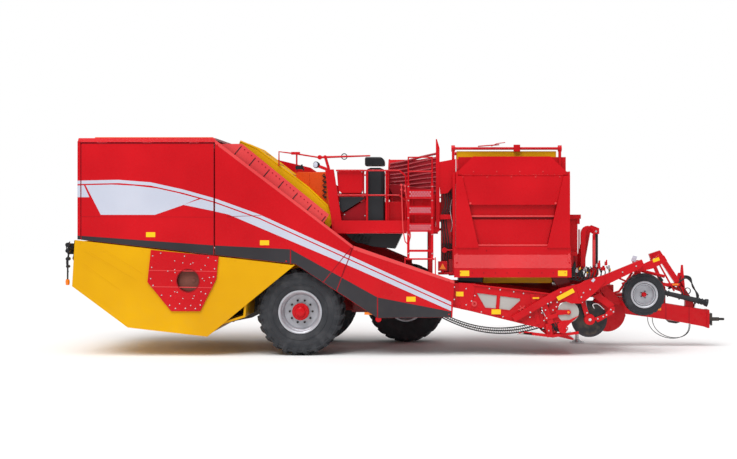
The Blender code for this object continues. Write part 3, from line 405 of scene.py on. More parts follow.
class Form:
    """A mesh that grows by plates, rods, tubes and turned rings, then becomes one piece."""

    def __init__(self) -> None:
        """Starts with nothing."""
        self.mesh = bmesh.new()

    def block(self, low: Point, high: Point) -> None:
        """Adds a box between two corners.

        Args:
            low: one corner.
            high: the opposite corner.
        """
        low_corner, high_corner = Vector(low), Vector(high)
        size, centre = high_corner - low_corner, (high_corner + low_corner) / 2
        place = Matrix.Translation(centre) @ Matrix.Diagonal((*size, 1.0))
        bmesh.ops.create_cube(self.mesh, size=1.0, matrix=place)

    def plate(self, outline: Sequence[Point], low: float, high: float, plane: Plane = Plane.SIDE) -> None:
        """Adds a flat outline as thick as from low to high.

        Args:
            outline: points in order round it.
            low: one face's distance along the third axis.
            high: the other face's distance.
            plane: the plane that it is drawn in.
        """
        rings = [
            [self.mesh.verts.new(plane.place(u, v, depth)) for u, v in outline] for depth in (low, high)
        ]
        count = len(outline)
        faces = [self.mesh.faces.new(rings[0]), self.mesh.faces.new(rings[1][::-1])]
        for i in range(count):
            j = (i + 1) % count
            faces.append(self.mesh.faces.new((rings[0][j], rings[0][i], rings[1][i], rings[1][j])))
        bmesh.ops.recalc_face_normals(self.mesh, faces=faces)

    def bar(self, start: Point, end: Point, radius: float, sides: int = 12, tip: float = -1.0) -> None:
        """Adds a round bar, or a cone where tip is its far radius.

        Args:
            start: centre of one end.
            end: centre of the other end.
            radius: radius at the start.
            sides: faces round it.
            tip: radius at the end, where it is not the same.
        """
        a, b = Vector(start), Vector(end)
        turn = (b - a).to_track_quat("Z", "Y").to_matrix().to_4x4()
        bmesh.ops.create_cone(
            self.mesh,
            cap_ends=True,
            segments=sides,
            radius1=radius,
            radius2=radius if tip < 0 else tip,
            depth=(b - a).length,
            matrix=Matrix.Translation((a + b) / 2) @ turn,
        )

    def studs(self, spots: Iterable[Point], start: float, end: float, radius: float, sides: int) -> None:
        """Adds a bolt head at each (x, z) of the side, from start to end in y."""
        for x, z in spots:
            self.bar((x, start, z), (x, end, z), radius, sides)

    def tube(self, points: Sequence[Point], radius: float, sides: int = 10) -> None:
        """Adds a round tube through points, bent at each.

        Args:
            points: places along its centre line.
            radius: its radius.
            sides: faces round it.
        """
        line = [Vector(p) for p in points]
        normal = (line[1] - line[0]).orthogonal().normalized()
        rings = []
        for i, point in enumerate(line):
            before = (point - line[i - 1]).normalized() if i else (line[1] - line[0]).normalized()
            after = (line[i + 1] - point).normalized() if i < len(line) - 1 else before
            along = (before + after).normalized()
            normal = (normal - along * normal.dot(along)).normalized()
            other = along.cross(normal)
            ring = []
            for k in range(sides):
                angle = 2 * math.pi * k / sides
                offset = (normal * math.cos(angle) + other * math.sin(angle)) * radius
                ring.append(self.mesh.verts.new(point + offset))
            rings.append(ring)
        for near, far in zip(rings, rings[1:]):
            for k in range(sides):
                j = (k + 1) % sides
                self.mesh.faces.new((near[k], near[j], far[j], far[k]))
        self.mesh.faces.new(rings[0][::-1])
        self.mesh.faces.new(rings[-1])

    def turned(self, profile: Sequence[Point], centre: Point, axis: Point, steps: int = 48) -> None:
        """Adds a closed profile of (radius, distance along axis) turned round an axis.

        Args:
            profile: (radius, distance) points, in order round the section.
            centre: a point on the axis.
            axis: the axis's direction.
            steps: faces round it.
        """
        aim = Vector(axis).to_track_quat("Z", "Y").to_matrix()
        origin = Vector(centre)
        rings = []
        for i in range(steps):
            turn = Matrix.Rotation(2 * math.pi * i / steps, 3, "Z")
            rings.append(
                [self.mesh.verts.new(origin + aim @ (turn @ Vector((r, 0, a)))) for r, a in profile]
            )
        count = len(profile)
        for i in range(steps):
            near, far = rings[i], rings[(i + 1) % steps]
            for k in range(count):
                j = (k + 1) % count
                self.mesh.faces.new((near[k], far[k], far[j], near[j]))

    def piece(self, name: str, body: str, finish: str, bevel: float = 0.0) -> bpy.types.Object:
        """Makes the form one object that rides on a body.

        Args:
            name: the piece's name.
            body: the body that it moves with.
            finish: the name of its finish.
            bevel: width of a rounded edge, or 0 for none.

        Returns:
            The object.
        """
        bmesh.ops.recalc_face_normals(self.mesh, faces=self.mesh.faces)
        data = bpy.data.meshes.new(name)
        self.mesh.to_mesh(data)
        self.mesh.free()
        obj = bpy.data.objects.new(name, data)
        bpy.context.scene.collection.objects.link(obj)
        data.shade_smooth()
        data.set_sharp_from_angle(angle=math.radians(35))
        palette().dress(obj, finish)
        if bevel:
            modifier = obj.modifiers.new("edges", "BEVEL")
            modifier.width = bevel
            modifier.segments = 2
            modifier.limit_method = "ANGLE"
            modifier.harden_normals = True
        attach(obj, body)
        palette().slots[finish]
        log.info("%s rides on %s", name, body)
        return obj


def smooth(points: Sequence[Point], per_span: int = 8) -> list[Vector]:
    """A Catmull-Rom curve through points.

    Args:
        points: places that the curve passes through.
        per_span: steps between two places.

    Returns:
        The curve's points.
    """
    line = [Vector(p) for p in points]
    line = [line[0] * 2 - line[1], *line, line[-1] * 2 - line[-2]]
    out = []
    for a, b, c, d in zip(line, line[1:], line[2:], line[3:]):
        for i in range(per_span):
            t = i / per_span
            out.append(
                0.5 * (
                    2 * b + (c - a) * t + (
                        2 * a - 5 * b + 4 * c - d
                    ) * t**2 + (3 * b - a - 3 * c + d) * t**3
                )
            )
    return [*out, line[-2]]


def height_on(path: Sequence[Point], x: float) -> float:
    """The height of a line of (x, z) points at x.

    Args:
        path: (x, z) points in order of x.
        x: where to read the height.

    Returns:
        The height there.
    """
    for (x0, z0), (x1, z1) in zip(path, path[1:]):
        if x <= x1:
            return z0 + (z1 - z0) * (x - x0) / (x1 - x0)
    return path[-1][1]


def strip_between(top: Sequence[Point], bottom: Sequence[Point], start: float, end: float) -> list[Point]:
    """The outline between two lines from start to end in x.

    Args:
        top: the upper line's (x, z) points.
        bottom: the lower line's (x, z) points.
        start: x where the strip begins.
        end: x where it ends.

    Returns:
        The strip's outline.
    """
    inside = sorted({start, end, *(p[0] for p in (*top, *bottom) if start < p[0] < end)})
    upper = [(x, height_on(top, x)) for x in inside]
    return upper + [(x, height_on(bottom, x)) for x in reversed(inside)]


# ---------------------------------------------------------------- carried-over pieces
NODE_FINISH = {
    "frame_red": ("main_frame", "axle_beam", "bogie_beam", "knuckle_right"),
    "red_enamel": (
        "rear_hood",
        "side_door",
        "fan_cover_right",
        "side_panel_mid",
        "side_panel_front",
        "channel_wall",
        "side_panel_left",
        "platform_right",
        "platform_left",
        "picking_table",
        "access_ladder",
        "bunker_tub",
        "bunker_head",
        "intake_channel",
        "swan_neck",
        "depth_arm",
        "drawbar",
        "disc_left",
    ),
    "painted_highlight_red": ("flap_strip",),
    "yellow_enamel": ("belly_cheek_right", "belly_cheek_left", "belly_trough", "channel_cover"),
    "orange_enamel": ("separator_deck",),
    "black_enamel_and_shade": (
        "disc_right",
        "hitch_eye",
        "rear_lamp_bar",
        "lift_cylinder_barrel",
        "swing_cylinder_barrel",
    ),
    "duct_plastic": ("air_duct", "drive_shaft"),
    "rim_silver": ("rim_right", "rim_left_rear", "rim_left_front", "rim_depth", "fan_rotor"),
    "bright_rod": ("jack_leg", "lift_cylinder_rod", "swing_cylinder_rod"),
    "dark_web": ("main_web",),
    "web_steel": ("digging_web",),
    "tyre_rubber_dark": ("tyre_right", "tyre_left_rear", "tyre_left_front", "tyre_depth"),
}


def dress_frame(frame: dict[str, Any]) -> None:
    """Gives each carried-over node its finish.

    Args:
        frame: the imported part's nodes and bodies, as loaded.
    """
    for finish, nodes in NODE_FINISH.items():
        for node in nodes:
            palette().dress(frame["nodes"][node], finish)


# ---------------------------------------------------------------- paint stripes and seams
@dataclass
class SideGraphics:
    """Grey sill stripe, light sweep, thin dividing lines and blank labels on the side panels."""

    # x, z along each line
    sill_top: Sequence[Point] = (
        (-6.05, 2.232), (-3.52, 2.05), (-2.12, 1.98), (-0.517, 1.092), (0.87, 0.823)
    )
    sill_low: Sequence[Point] = ((-6.05, 2.164), (-2.03, 1.709), (-0.517, 0.713), (0.87, 0.728))
    crest: Sequence[Point] = (
        (-6.05, 3.245),
        (-5.30, 3.262),
        (-4.70, 3.215),
        (-4.11, 3.085),
        (-3.52, 2.920),
        (-2.70, 2.625),
        (0.845, 1.009),
    )
    sweep_foot: Sequence[Point] = (
        (-4.10, 2.815), (-3.52, 2.68), (-3.26, 2.62), (-0.90, 1.615), (0.845, 0.84)
    )
    thin: float = 0.062
    line: float = 0.024
    door_end: float = -3.534
    spans: dict[str, tuple[float, float]] = field(
        default_factory=lambda: {"door": (-5.985, -3.534), "chassis": (-3.512, 0.84)}
    )

    def lowered(self, path: Sequence[Point], drop: float) -> list[Point]:
        """A line moved down by drop."""
        return [(x, z - drop) for x, z in path]

    def build(self) -> None:
        """Lays the stripes on the door and on the fixed panels."""
        crest_foot = self.lowered(self.crest, self.thin)
        sweep_top = self.lowered(self.crest, self.thin + self.line)
        for body, (start, end) in self.spans.items():
            sill = Form()
            sill.plate(strip_between(self.sill_top, self.sill_low, start, end), SIDE - LIFT, SIDE - 0.0002)
            sill.piece(f"sill_stripe_{body}", body, "stripe_grey")
            light = Form()
            light.plate(strip_between(self.crest, crest_foot, start, end), SIDE - LIFT, SIDE - 0.0002)
            sweep_start = max(start, -4.10)
            outline = strip_between(sweep_top, self.sweep_foot, sweep_start, end)
            if body == "door":
                outline = [(-3.70, height_on(sweep_top, -3.70)), *outline[-2:]]
                outline = [
                    (-3.78, height_on(sweep_top, -3.78)),
                    (self.door_end, height_on(sweep_top, self.door_end)),
                    (self.door_end, height_on(self.sweep_foot, self.door_end)),
                    (-4.10, 2.80),
                ]
            light.plate(outline, SIDE - LIFT, SIDE - 0.0002)
            if body == "door":
                self._rear_fields(light, sweep_top)
            light.piece(f"light_sweep_{body}", body, "stripe_light")
        self._corner_post()
        self._seams()
        self._labels()

    def _rear_fields(self, form: Form, top: Sequence[Point]) -> None:
        """Adds the small rear field and the plain trapezoid.

        Args:
            form: what the fields are added to.
            top: their upper line's (x, z) points.
        """
        form.plate(
            [
                (-5.985, height_on(top, -5.985)), (-5.93, height_on(top, -5.93)), (-5.83, 2.94),
                (-5.985, 2.94),
            ],
            SIDE - LIFT,
            SIDE - 0.0002,
        )
        stops = (-5.90, -5.40, -5.0, -4.60, -4.20, -3.82)
        upper = [(x, height_on(top, x)) for x in stops]
        form.plate([*upper, (-4.12, 2.79), (-4.62, 2.615), (-5.62, 2.615)], SIDE - LIFT, SIDE - 0.0002)

    def _corner_post(self) -> None:
        """Carries the stripes round the fixed rear post."""
        start, end = -6.05, -5.996
        form = Form()
        form.plate(strip_between(self.sill_top, self.sill_low, start, end), SIDE - LIFT, SIDE - 0.0002)
        form.piece("sill_stripe_post", "chassis", "stripe_grey")
        light = Form()
        foot = self.lowered(self.crest, self.thin)
        light.plate(strip_between(self.crest, foot, start, end), SIDE - LIFT, SIDE - 0.0002)
        light.plate([(start, 3.155), (end, 3.157), (end, 2.94), (start, 2.94)], SIDE - LIFT, SIDE - 0.0002)
        light.piece("light_sweep_post", "chassis", "stripe_light")

    def _seams(self) -> None:
        """Thin dark lines where sheets meet, and the folded edge of the slope, whose pale colour is a
        painted highlight.
        """
        form = Form()
        pairs = [((-2.121, 1.975), (-2.121, 1.72)), ((-0.517, 1.09), (-0.517, 0.72))]
        pairs += [((-0.985, 2.03), (-1.52, 1.37)), ((-0.963, 2.03), (-1.273, 1.21))]
        for (x0, z0), (x1, z1) in pairs:
            half = 0.010
            form.plate(
                [(x0 - half, z0), (x0 + half, z0), (x1 + half, z1), (x1 - half, z1)], SIDE - 0.0022, SIDE
            )
        form.plate([(-3.29, 2.575), (-2.66, 2.60), (-2.66, 2.607), (-3.29, 2.585)], SIDE - 0.0022, SIDE)
        form.piece("panel_seams", "chassis", "seam_and_shadow_red")
        # Painted highlight: the slope's folded edge in the lighter red, where it catches the light.
        edge = Form()
        for (x0, z0), (x1, z1) in (((-3.51, 4.0), (-0.974, 2.05)), ((-0.962, 2.046), (0.90, 1.40))):
            edge.plate([(x0, z0), (x1, z1), (x1, z1 - 0.055), (x0, z0 - 0.075)], SIDE - 0.004, SIDE)
        edge.piece("slope_edge_highlight", "chassis", "painted_highlight_red")

    def _labels(self) -> None:
        """Small blank plates, each given by its centre, size and body."""
        rows = (
            ("door", -4.70, 2.25, 0.17, 0.09, SIDE),
            ("mid", -2.60, 2.10, 0.17, 0.09, SIDE),
            ("front", 0.10, 1.06, 0.17, 0.09, SIDE),
            ("bunker_rear", 1.09, 1.535, 0.17, 0.10, -1.577),
            ("bunker_front", 2.90, 1.535, 0.17, 0.10, -1.577),
        )
        for name, x, z, width, height, y in rows:
            form = Form()
            form.block(
                (x - width / 2, y - 0.003, z - height / 2), (x + width / 2, y - 0.0005, z + height / 2)
            )
            form.piece(f"label_{name}", "door" if name == "door" else "chassis", "label_yellow")


# ---------------------------------------------------------------- wheels
@dataclass
class FarmWheel:
    """Tread bars, bead ring, nuts and hub of one wheel."""

    name: str
    body: str
    centre: Point
    side: int
    radius: float
    width: float
    seat: float
    dish: float
    bars: int
    nuts: int = 10
    dust_cap: float = 0.15

    def build(self) -> None:
        """Adds all that the plain tyre and rim leave out."""
        self._carcass()
        self._tread()
        self._rings()
        self._nuts()

    def _point(self, radius: float, angle: float, across: float) -> Vector:
        """A point on the wheel, with across measured outwards from its middle."""
        x, y, z = self.centre
        return Vector((x + radius * math.cos(angle), y + self.side * across, z + radius * math.sin(angle)))

    def _carcass(self) -> None:
        """The tyre itself, with round walls, in place of the plain one."""
        half, base = self.width / 2, self.radius - 0.045 * self.radius
        wall = []
        steps = 12
        for i in range(steps + 1):
            t = i / steps
            bulge = 0.86 + 0.14 * math.sin(math.pi * t * 0.92) ** 0.8
            wall.append((self.seat + t * 0.93 * (base - self.seat), half * bulge))
        crown = [(base - 0.012, 0.84 * half), (base, 0.70 * half), (base + 0.003, 0.0)]
        near = [*wall, *crown]
        profile = near + [(radius, -across) for radius, across in near[-2::-1]]
        tyre = Form()
        tyre.turned(profile, self._point(0, 0, 0), (0, self.side, 0), 96)
        piece = tyre.piece(f"carcass_{self.name}", self.body, "tyre_rubber_dark")
        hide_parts(f"tyre_{self.name}")

    def _tread(self) -> None:
        """Slanted bars from each shoulder to the middle of the tread."""
        form = Form()
        half = self.width / 2
        step = 2 * math.pi / self.bars
        height = 0.055 * self.radius
        for i in range(self.bars):
            for way in (-1, 1):
                base = i * step + (step / 2 if way > 0 else 0)
                # place across, angle ahead, outer radius, half width in angle
                rows = (
                    (0.0, 0.62 * step, self.radius - 0.001, 0.16 * step),
                    (0.45 * half, 0.34 * step, self.radius - 0.001, 0.18 * step),
                    (0.80 * half, 0.05 * step, self.radius - 0.004, 0.21 * step),
                    (0.97 * half, -0.05 * step, self.radius - 1.5 * height, 0.22 * step),
                    (0.985 * half, -0.07 * step, self.radius - 3.2 * height, 0.14 * step),
                )
                rings = []
                for across, ahead, outer, wide in rows:
                    ring = []
                    for radius, sign, share in (
                        (outer - height, -1, 1.25),
                        (outer, -1, 0.9),
                        (outer, 1, 0.9),
                        (outer - height, 1, 1.25),
                    ):
                        angle = base + ahead + sign * wide * share
                        ring.append(form.mesh.verts.new(self._point(radius, angle, way * across)))
                    rings.append(ring)
                for near, far in zip(rings, rings[1:]):
                    for k in range(4):
                        j = (k + 1) % 4
                        form.mesh.faces.new((near[k], near[j], far[j], far[k]))
                form.mesh.faces.new(rings[0])
                form.mesh.faces.new(rings[-1][::-1])
        form.piece(f"tread_{self.name}", self.body, "tyre_rubber_dark")
        groove = Form()
        for share in (0.30, 0.55, 0.80):
            radius = self.seat + share * (self.radius - self.seat)
            across = half * (0.99 if share < 0.7 else 0.965)
            place = self._point(0, 0, across)
            groove.turned(
                [
                    (radius - 0.012, -0.01), (radius - 0.006, 0.005), (radius + 0.006, 0.005),
                    (radius + 0.012, -0.01),
                ],
                place,
                (0, self.side, 0),
                64,
            )
        groove.piece(f"sidewall_rings_{self.name}", self.body, "tyre_rubber_dark")

    def _rings(self) -> None:
        """The rim's rolled lip and the dish's step."""
        half = 0.86 * self.width / 2
        form = Form()
        place = self._point(0, 0, 0)
        lip = self.seat
        form.turned(
            [
                (lip - 0.028, half - 0.035),
                (lip - 0.020, half + 0.020),
                (lip - 0.004, half + 0.032),
                (lip + 0.016, half + 0.028),
                (lip + 0.020, half + 0.010),
                (lip - 0.002, half + 0.004),
            ],
            place,
            (0, self.side, 0),
            96,
        )
        dish = self.dish
        form.turned(
            [
                (0.80 * lip, dish + 0.018),
                (0.84 * lip, dish + 0.050),
                (0.90 * lip, dish + 0.070),
                (lip - 0.026, dish + 0.075),
                (lip - 0.026, dish + 0.018),
            ],
            place,
            (0, self.side, 0),
            96,
        )
        form.piece(f"rim_lip_{self.name}", self.body, "rim_silver")

    def _nuts(self) -> None:
        """Wheel nuts on their circle, and the red hub with its cap."""
        form = Form()
        circle = self.dust_cap * 1.42
        for i in range(self.nuts):
            angle = 2 * math.pi * i / self.nuts
            inner = self._point(circle, angle, self.dish + 0.015)
            outer = self._point(circle, angle, self.dish + 0.055)
            form.bar(inner, outer, 0.022 * self.radius / 0.81, 6)
        form.piece(f"nuts_{self.name}", self.body, "black_enamel_and_shade")
        hub = Form()
        reach = self.dish + 0.155 if self.radius > 0.6 else self.dish + 0.065
        cap = self.dust_cap
        hub.turned(
            [
                (0.001, reach - 0.08),
                (cap * 1.06, reach - 0.08),
                (cap * 1.06, reach - 0.01),
                (cap * 0.95, reach + 0.006),
                (cap * 0.62, reach + 0.008),
                (cap * 0.56, reach + 0.045),
                (cap * 0.45, reach + 0.055),
                (0.001, reach + 0.055),
            ],
            self._point(0, 0, 0),
            (0, self.side, 0),
            40,
        )
        for i in range(8):
            angle = 2 * math.pi * (i + 0.5) / 8
            near = self._point(cap * 0.80, angle, reach - 0.01)
            hub.bar(near, self._point(cap * 0.80, angle, reach + 0.02), cap * 0.09, 6)
        hub.piece(f"hub_{self.name}", self.body, "red_enamel")


def build_wheels() -> None:
    """All four road wheels and the depth wheel."""
    road_z = 0.8125 * math.cos(math.pi / 32)
    wheels = (
        FarmWheel("right", "wheel_right", (-1.96, -1.10, road_z), -1, 0.808, 0.80, 0.387, 0.13, 24),
        FarmWheel("left_rear", "wheel_left_rear", (-1.86, 1.30, road_z), 1, 0.808, 0.60, 0.387, 0.06, 24),
        FarmWheel("left_front", "wheel_left_front", (-0.04, 1.30, road_z), 1, 0.808, 0.60, 0.387, 0.06, 24),
        FarmWheel(
            "depth", "depth_wheel", (4.455, -1.20, 1.123), -1, 0.398, 0.24, 0.235, 0.02, 22, 5, 0.045
        ),
    )
    for wheel in wheels:
        wheel.build()


# ---------------------------------------------------------------- webs
@dataclass
class RodWeb:
    """A belt of round rods that runs on two side belts."""

    name: str
    body: str
    node: str
    line: Sequence[Point]
    right: float
    left: float
    pitch: float
    rod: float
    finish: str

    def _walk(self) -> list[tuple[Vector, Vector]]:
        """Evenly spaced places along the closed line, each with its direction.

        Returns:
            Each rod's place and the line's direction there.
        """
        points = [Vector((x, 0.0, z)) for x, z in self.line]
        points.append(points[0])
        total = sum((b - a).length for a, b in zip(points, points[1:]))
        count = round(total / self.pitch)
        step = total / count
        places, travelled, target = [], 0.0, 0.0
        for a, b in zip(points, points[1:]):
            run = (b - a).length
            while target < travelled + run and len(places) < count:
                places.append((a + (b - a) * ((target - travelled) / run), (b - a).normalized()))
                target += step
            travelled += run
        return places

    def build(self) -> None:
        """Makes the rods and belts in place of the plain belt."""
        rods = Form()
        for place, _ in self._walk():
            rods.bar(
                (place.x, self.right + 0.01, place.z), (place.x, self.left - 0.01, place.z), self.rod, 6
            )
        piece = rods.piece(f"{self.name}_rods", self.body, self.finish)
        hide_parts(self.node)
        belts = Form()
        width, half = 0.055, 0.009
        span = self.left - self.right
        for share in (0.02, 0.5, 0.98):
            centre = self.right + span * share
            low = max(self.right, centre - width / 2)
            high = min(self.left, centre + width / 2)
            loop = [Vector((x, 0, z)) for x, z in self.line]
            count = len(loop)
            rings = []
            for i, point in enumerate(loop):
                along = (loop[(i + 1) % count] - loop[i - 1]).normalized()
                out = Vector((-along.z, 0, along.x))
                corners = [(half, low), (half, high), (-half, high), (-half, low)]
                rings.append(
                    [belts.mesh.verts.new(point + out * h + Vector((0, y, 0))) for h, y in corners]
                )
            for i in range(count):
                near, far = rings[i], rings[(i + 1) % count]
                for k in range(4):
                    j = (k + 1) % 4
                    belts.mesh.faces.new((near[k], near[j], far[j], far[k]))
        belts.piece(f"{self.name}_belts", self.body, "hose_rubber")


def round_rollers(path: Sequence[Point], radius: float, arc: int = 7) -> list[Point]:
    """A belt's closed line round a roller of this radius at each end of a path.

    Args:
        path: (x, z) points of the belt's middle line.
        radius: the rollers' radius.
        arc: steps round each roller.

    Returns:
        The closed line's points.
    """
    sides = []
    for way in (1, -1):
        moved = []
        for i, (x, z) in enumerate(path):
            ahead = path[min(i + 1, len(path) - 1)]
            behind = path[max(i - 1, 0)]
            run = Vector((ahead[0] - behind[0], ahead[1] - behind[1])).normalized()
            moved.append((x - way * run.y * radius, z + way * run.x * radius))
        sides.append(moved if way > 0 else moved[::-1])
    points = []
    for run, roller in ((sides[0], path[-1]), (sides[1], path[0])):
        points += run
        start = math.atan2(run[-1][1] - roller[1], run[-1][0] - roller[0])
        for i in range(1, arc):
            angle = start - math.pi * i / arc
            points.append((roller[0] + radius * math.cos(angle), roller[1] + radius * math.sin(angle)))
    return points


def build_webs() -> None:
    """The rising main web and the digging web with its hanging return run."""
    rise = round_rollers([(0.02, 0.95), (-1.0, 1.49), (-3.34, 3.33)], 0.118)
    RodWeb("main_web", "chassis", "main_web", rise, -1.54, -0.22, 0.05, 0.0065, "dark_web").build()
    pivot_x, pivot_z, radius = 0.30, 1.05, 0.10
    line = []
    for degrees in (250, 215, 180, 145, 110, 80):
        angle = math.radians(degrees)
        line.append((pivot_x + radius * math.cos(angle), pivot_z + radius * math.sin(angle)))
    for degrees in (75, 35, -5, -45, -85):
        angle = math.radians(degrees)
        line.append((2.62 + 0.09 * math.cos(angle), 0.66 + 0.09 * math.sin(angle)))
    (x0, z0), (x1, z1) = line[-1], line[0]
    for i in range(1, 24):
        t = i / 24
        sag = 4 * t * (1 - t) * ((z0 + z1) / 2 - 0.44)
        line.append((x0 + t * (x1 - x0), z0 + t * (z1 - z0) - sag))
    RodWeb(
        "digging_web", "digging_front", "digging_web", line, -1.46, -0.29, 0.042, 0.007, "web_steel"
    ).build()


# ---------------------------------------------------------------- rear separator
@dataclass
class RearSeparator:
    """Bolts, folds, lips and lamps of the rear box and belly."""

    fan: Point = (-4.007, 1.403)
    # x, z of the fan's bolted plate
    cover: Sequence[Point] = (
        (-4.691, 1.966),
        (-3.444, 1.854),
        (-3.486, 1.432),
        (-3.782, 0.84),
        (-4.318, 0.84),
        (-4.754, 1.375),
    )

    def build(self) -> None:
        """Adds the details."""
        self._fan_plate()
        self._hood()
        self._belly()
        self._lamps()

    def _fan_plate(self) -> None:
        """Bolt heads, stiffening folds, the mouth's ring and the shaft's end plate."""
        x, z = self.fan
        bolts = Form()
        centre = Vector((sum(p[0] for p in self.cover) / 6, sum(p[1] for p in self.cover) / 6))
        for i, corner in enumerate(self.cover):
            follow = self.cover[(i + 1) % 6]
            for t in (0.12, 0.5, 0.88):
                edge = Vector(corner).lerp(Vector(follow), t)
                spot = edge + (centre - edge).normalized() * 0.055
                bolts.bar((spot.x, -1.66, spot.y), (spot.x, -1.649, spot.y), 0.012, 8)
        for ring, count, shift in ((0.30, 10, 0.0), (0.40, 12, 0.25), (0.27, 5, 0.1)):
            for i in range(count):
                angle = 2 * math.pi * (i + shift) / count
                spot_x, spot_z = x + ring * math.cos(angle), z + ring * math.sin(angle) * 1.15
                inside = 0.90 < spot_z < 1.82 and abs(spot_x - x) < 0.30 + 0.2 * (spot_z - 0.9)
                if inside:
                    bolts.bar((spot_x, -1.657, spot_z), (spot_x, -1.649, spot_z), 0.010, 8)
        bolts.piece("fan_plate_bolts", "chassis", "bright_rod")
        # Painted highlight: the stiffening folds are thin strips in the lighter red, where their edges
        # catch the light.
        lips = Form()
        for height, start, end in ((1.60, -4.735, -3.470), (1.30, -4.70, -3.552)):
            lips.plate(
                [(start, height), (end, height - 0.02), (end, height - 0.034), (start, height - 0.014)],
                -1.6535,
                -1.649,
            )
        lips.piece("fan_plate_folds", "chassis", "painted_highlight_red")
        ring = Form()
        ring.turned(
            [(0.203, -0.06), (0.203, 0.004), (0.218, 0.004), (0.218, -0.06)], (x, -1.651, z), (0, -1, 0), 48
        )
        ring.piece("fan_mouth_ring", "chassis", "seam_and_shadow_red")
        hub = Form()
        hub.turned(
            [(0.002, 0.0), (0.20, 0.0), (0.20, 0.012), (0.09, 0.02), (0.05, 0.03), (0.002, 0.03)],
            (x, -1.55, z),
            (0, -1, 0),
            40,
        )
        hub.bar((x + 0.09, -1.585, z), (x + 0.09, -1.56, z), 0.03, 12)
        hub.piece("fan_end_plate", "fan", "fan_brown")

    def _hood(self) -> None:
        """The roof's folded edge, the door's raised rim and its hinges."""
        roof = Form()
        roof.block((-6.05, -1.6215, 3.948), (-3.52, -1.60, 3.957))
        roof.piece("roof_edge_line", "chassis", "seam_and_shadow_red")
        strip = Form()
        strip.block((-5.75, -1.535, 4.030), (-3.56, -1.50, 4.052))
        strip.piece("roof_strip", "chassis", "orange_enamel", bevel=0.004)
        rim = Form()
        left, right, top = -5.988, -3.532, 3.935
        low_left, low_right = 2.156, 1.878
        w = 0.012
        rim.plate(
            [(left, low_left), (left + w, low_left), (left + w, top), (left, top)], SIDE - 0.002, SIDE
        )
        rim.plate(
            [(right - w, low_right), (right, low_right), (right, top), (right - w, top)], SIDE - 0.002, SIDE
        )
        rim.plate([(left, top - w), (right, top - w), (right, top), (left, top)], SIDE - 0.002, SIDE)
        rim.piece("door_rim", "door", "seam_and_shadow_red")
        fold = Form()
        fold.plate([(left, 2.585), (right, 2.575), (right, 2.570), (left, 2.580)], SIDE - 0.0012, SIDE)
        fold.piece("door_fold", "door", "seam_and_shadow_red")
        hinges = Form()
        for x in (-5.6, -4.76, -3.9):
            hinges.bar((x - 0.09, -1.625, 3.94), (x + 0.09, -1.625, 3.94), 0.008, 16)
        hinges.piece("door_hinges", "door", "seam_and_shadow_red")
        back = Form()
        for y in (-1.05, 0.0, 1.05):
            back.block((-6.062, y - 0.02, 2.2), (-6.049, y + 0.02, 3.93))
        for z in (2.75, 3.35):
            back.block((-6.060, -1.5, z - 0.012), (-6.049, 1.5, z + 0.012))
        back.piece("hood_back_ribs", "chassis", "red_enamel", bevel=0.004)
        handle = Form()
        handle.tube(
            [(-6.05, -0.18, 2.40), (-6.10, -0.18, 2.40), (-6.10, 0.18, 2.40), (-6.05, 0.18, 2.40)], 0.012
        )
        handle.piece("hood_back_handle", "chassis", "black_enamel_and_shade")

    def _belly(self) -> None:
        """Creases of the yellow sheet and its bolted upper edge."""
        folds = Form()
        creases = (
            ((-5.95, 1.98), (-4.95, 1.40)), ((-5.62, 2.00), (-4.84, 1.52)), ((-5.95, 1.70), (-5.25, 1.22))
        )
        for start, end in creases:
            a, b = Vector(start), Vector(end)
            side = Vector((-(b - a).y, (b - a).x)).normalized() * 0.02
            folds.plate([a + side, b, a - side], SIDE - 0.0035, SIDE)
        folds.piece("belly_creases", "chassis", "yellow_enamel", bevel=0.0015)
        bolts = Form()
        for i in range(14):
            x = -6.0 + i * 0.285
            z = 2.157 - 0.1133 * (x + 6.10) - 0.05
            if not -4.75 < x < -3.42:
                bolts.bar((x, SIDE - 0.006, z), (x, SIDE, z), 0.012, 8)
        bolts.piece("belly_bolts", "chassis", "yellow_enamel")
        lip = Form()
        edge = [(-6.15, 1.298), (-5.124, 0.537), (-3.659, 0.368), (-2.053, 1.684)]
        for (x0, z0), (x1, z1) in zip(edge, edge[1:]):
            lip.bar((x0, -1.60, z0 + 0.012), (x1, -1.60, z1 + 0.012), 0.012, 8)
            lip.bar((x0, 1.60, z0 + 0.012), (x1, 1.60, z1 + 0.012), 0.012, 8)
        lip.piece("belly_rolled_edges", "chassis", "yellow_enamel")
        # Painted shade: a black plate behind the right wheel that stands in for the shaded underside of the
        # belly trough.
        guard = Form()
        outline = [
            (-3.60, 0.48), (-3.30, 0.56), (-3.0, 0.62), (-2.80, 0.72), (-2.62, 0.90), (-2.62, 1.30),
            (-3.20, 1.20),
        ]
        guard.plate(outline, -0.38, -0.34)
        guard.piece("belly_painted_shade_plate", "chassis", "black_enamel_and_shade", bevel=0.006)

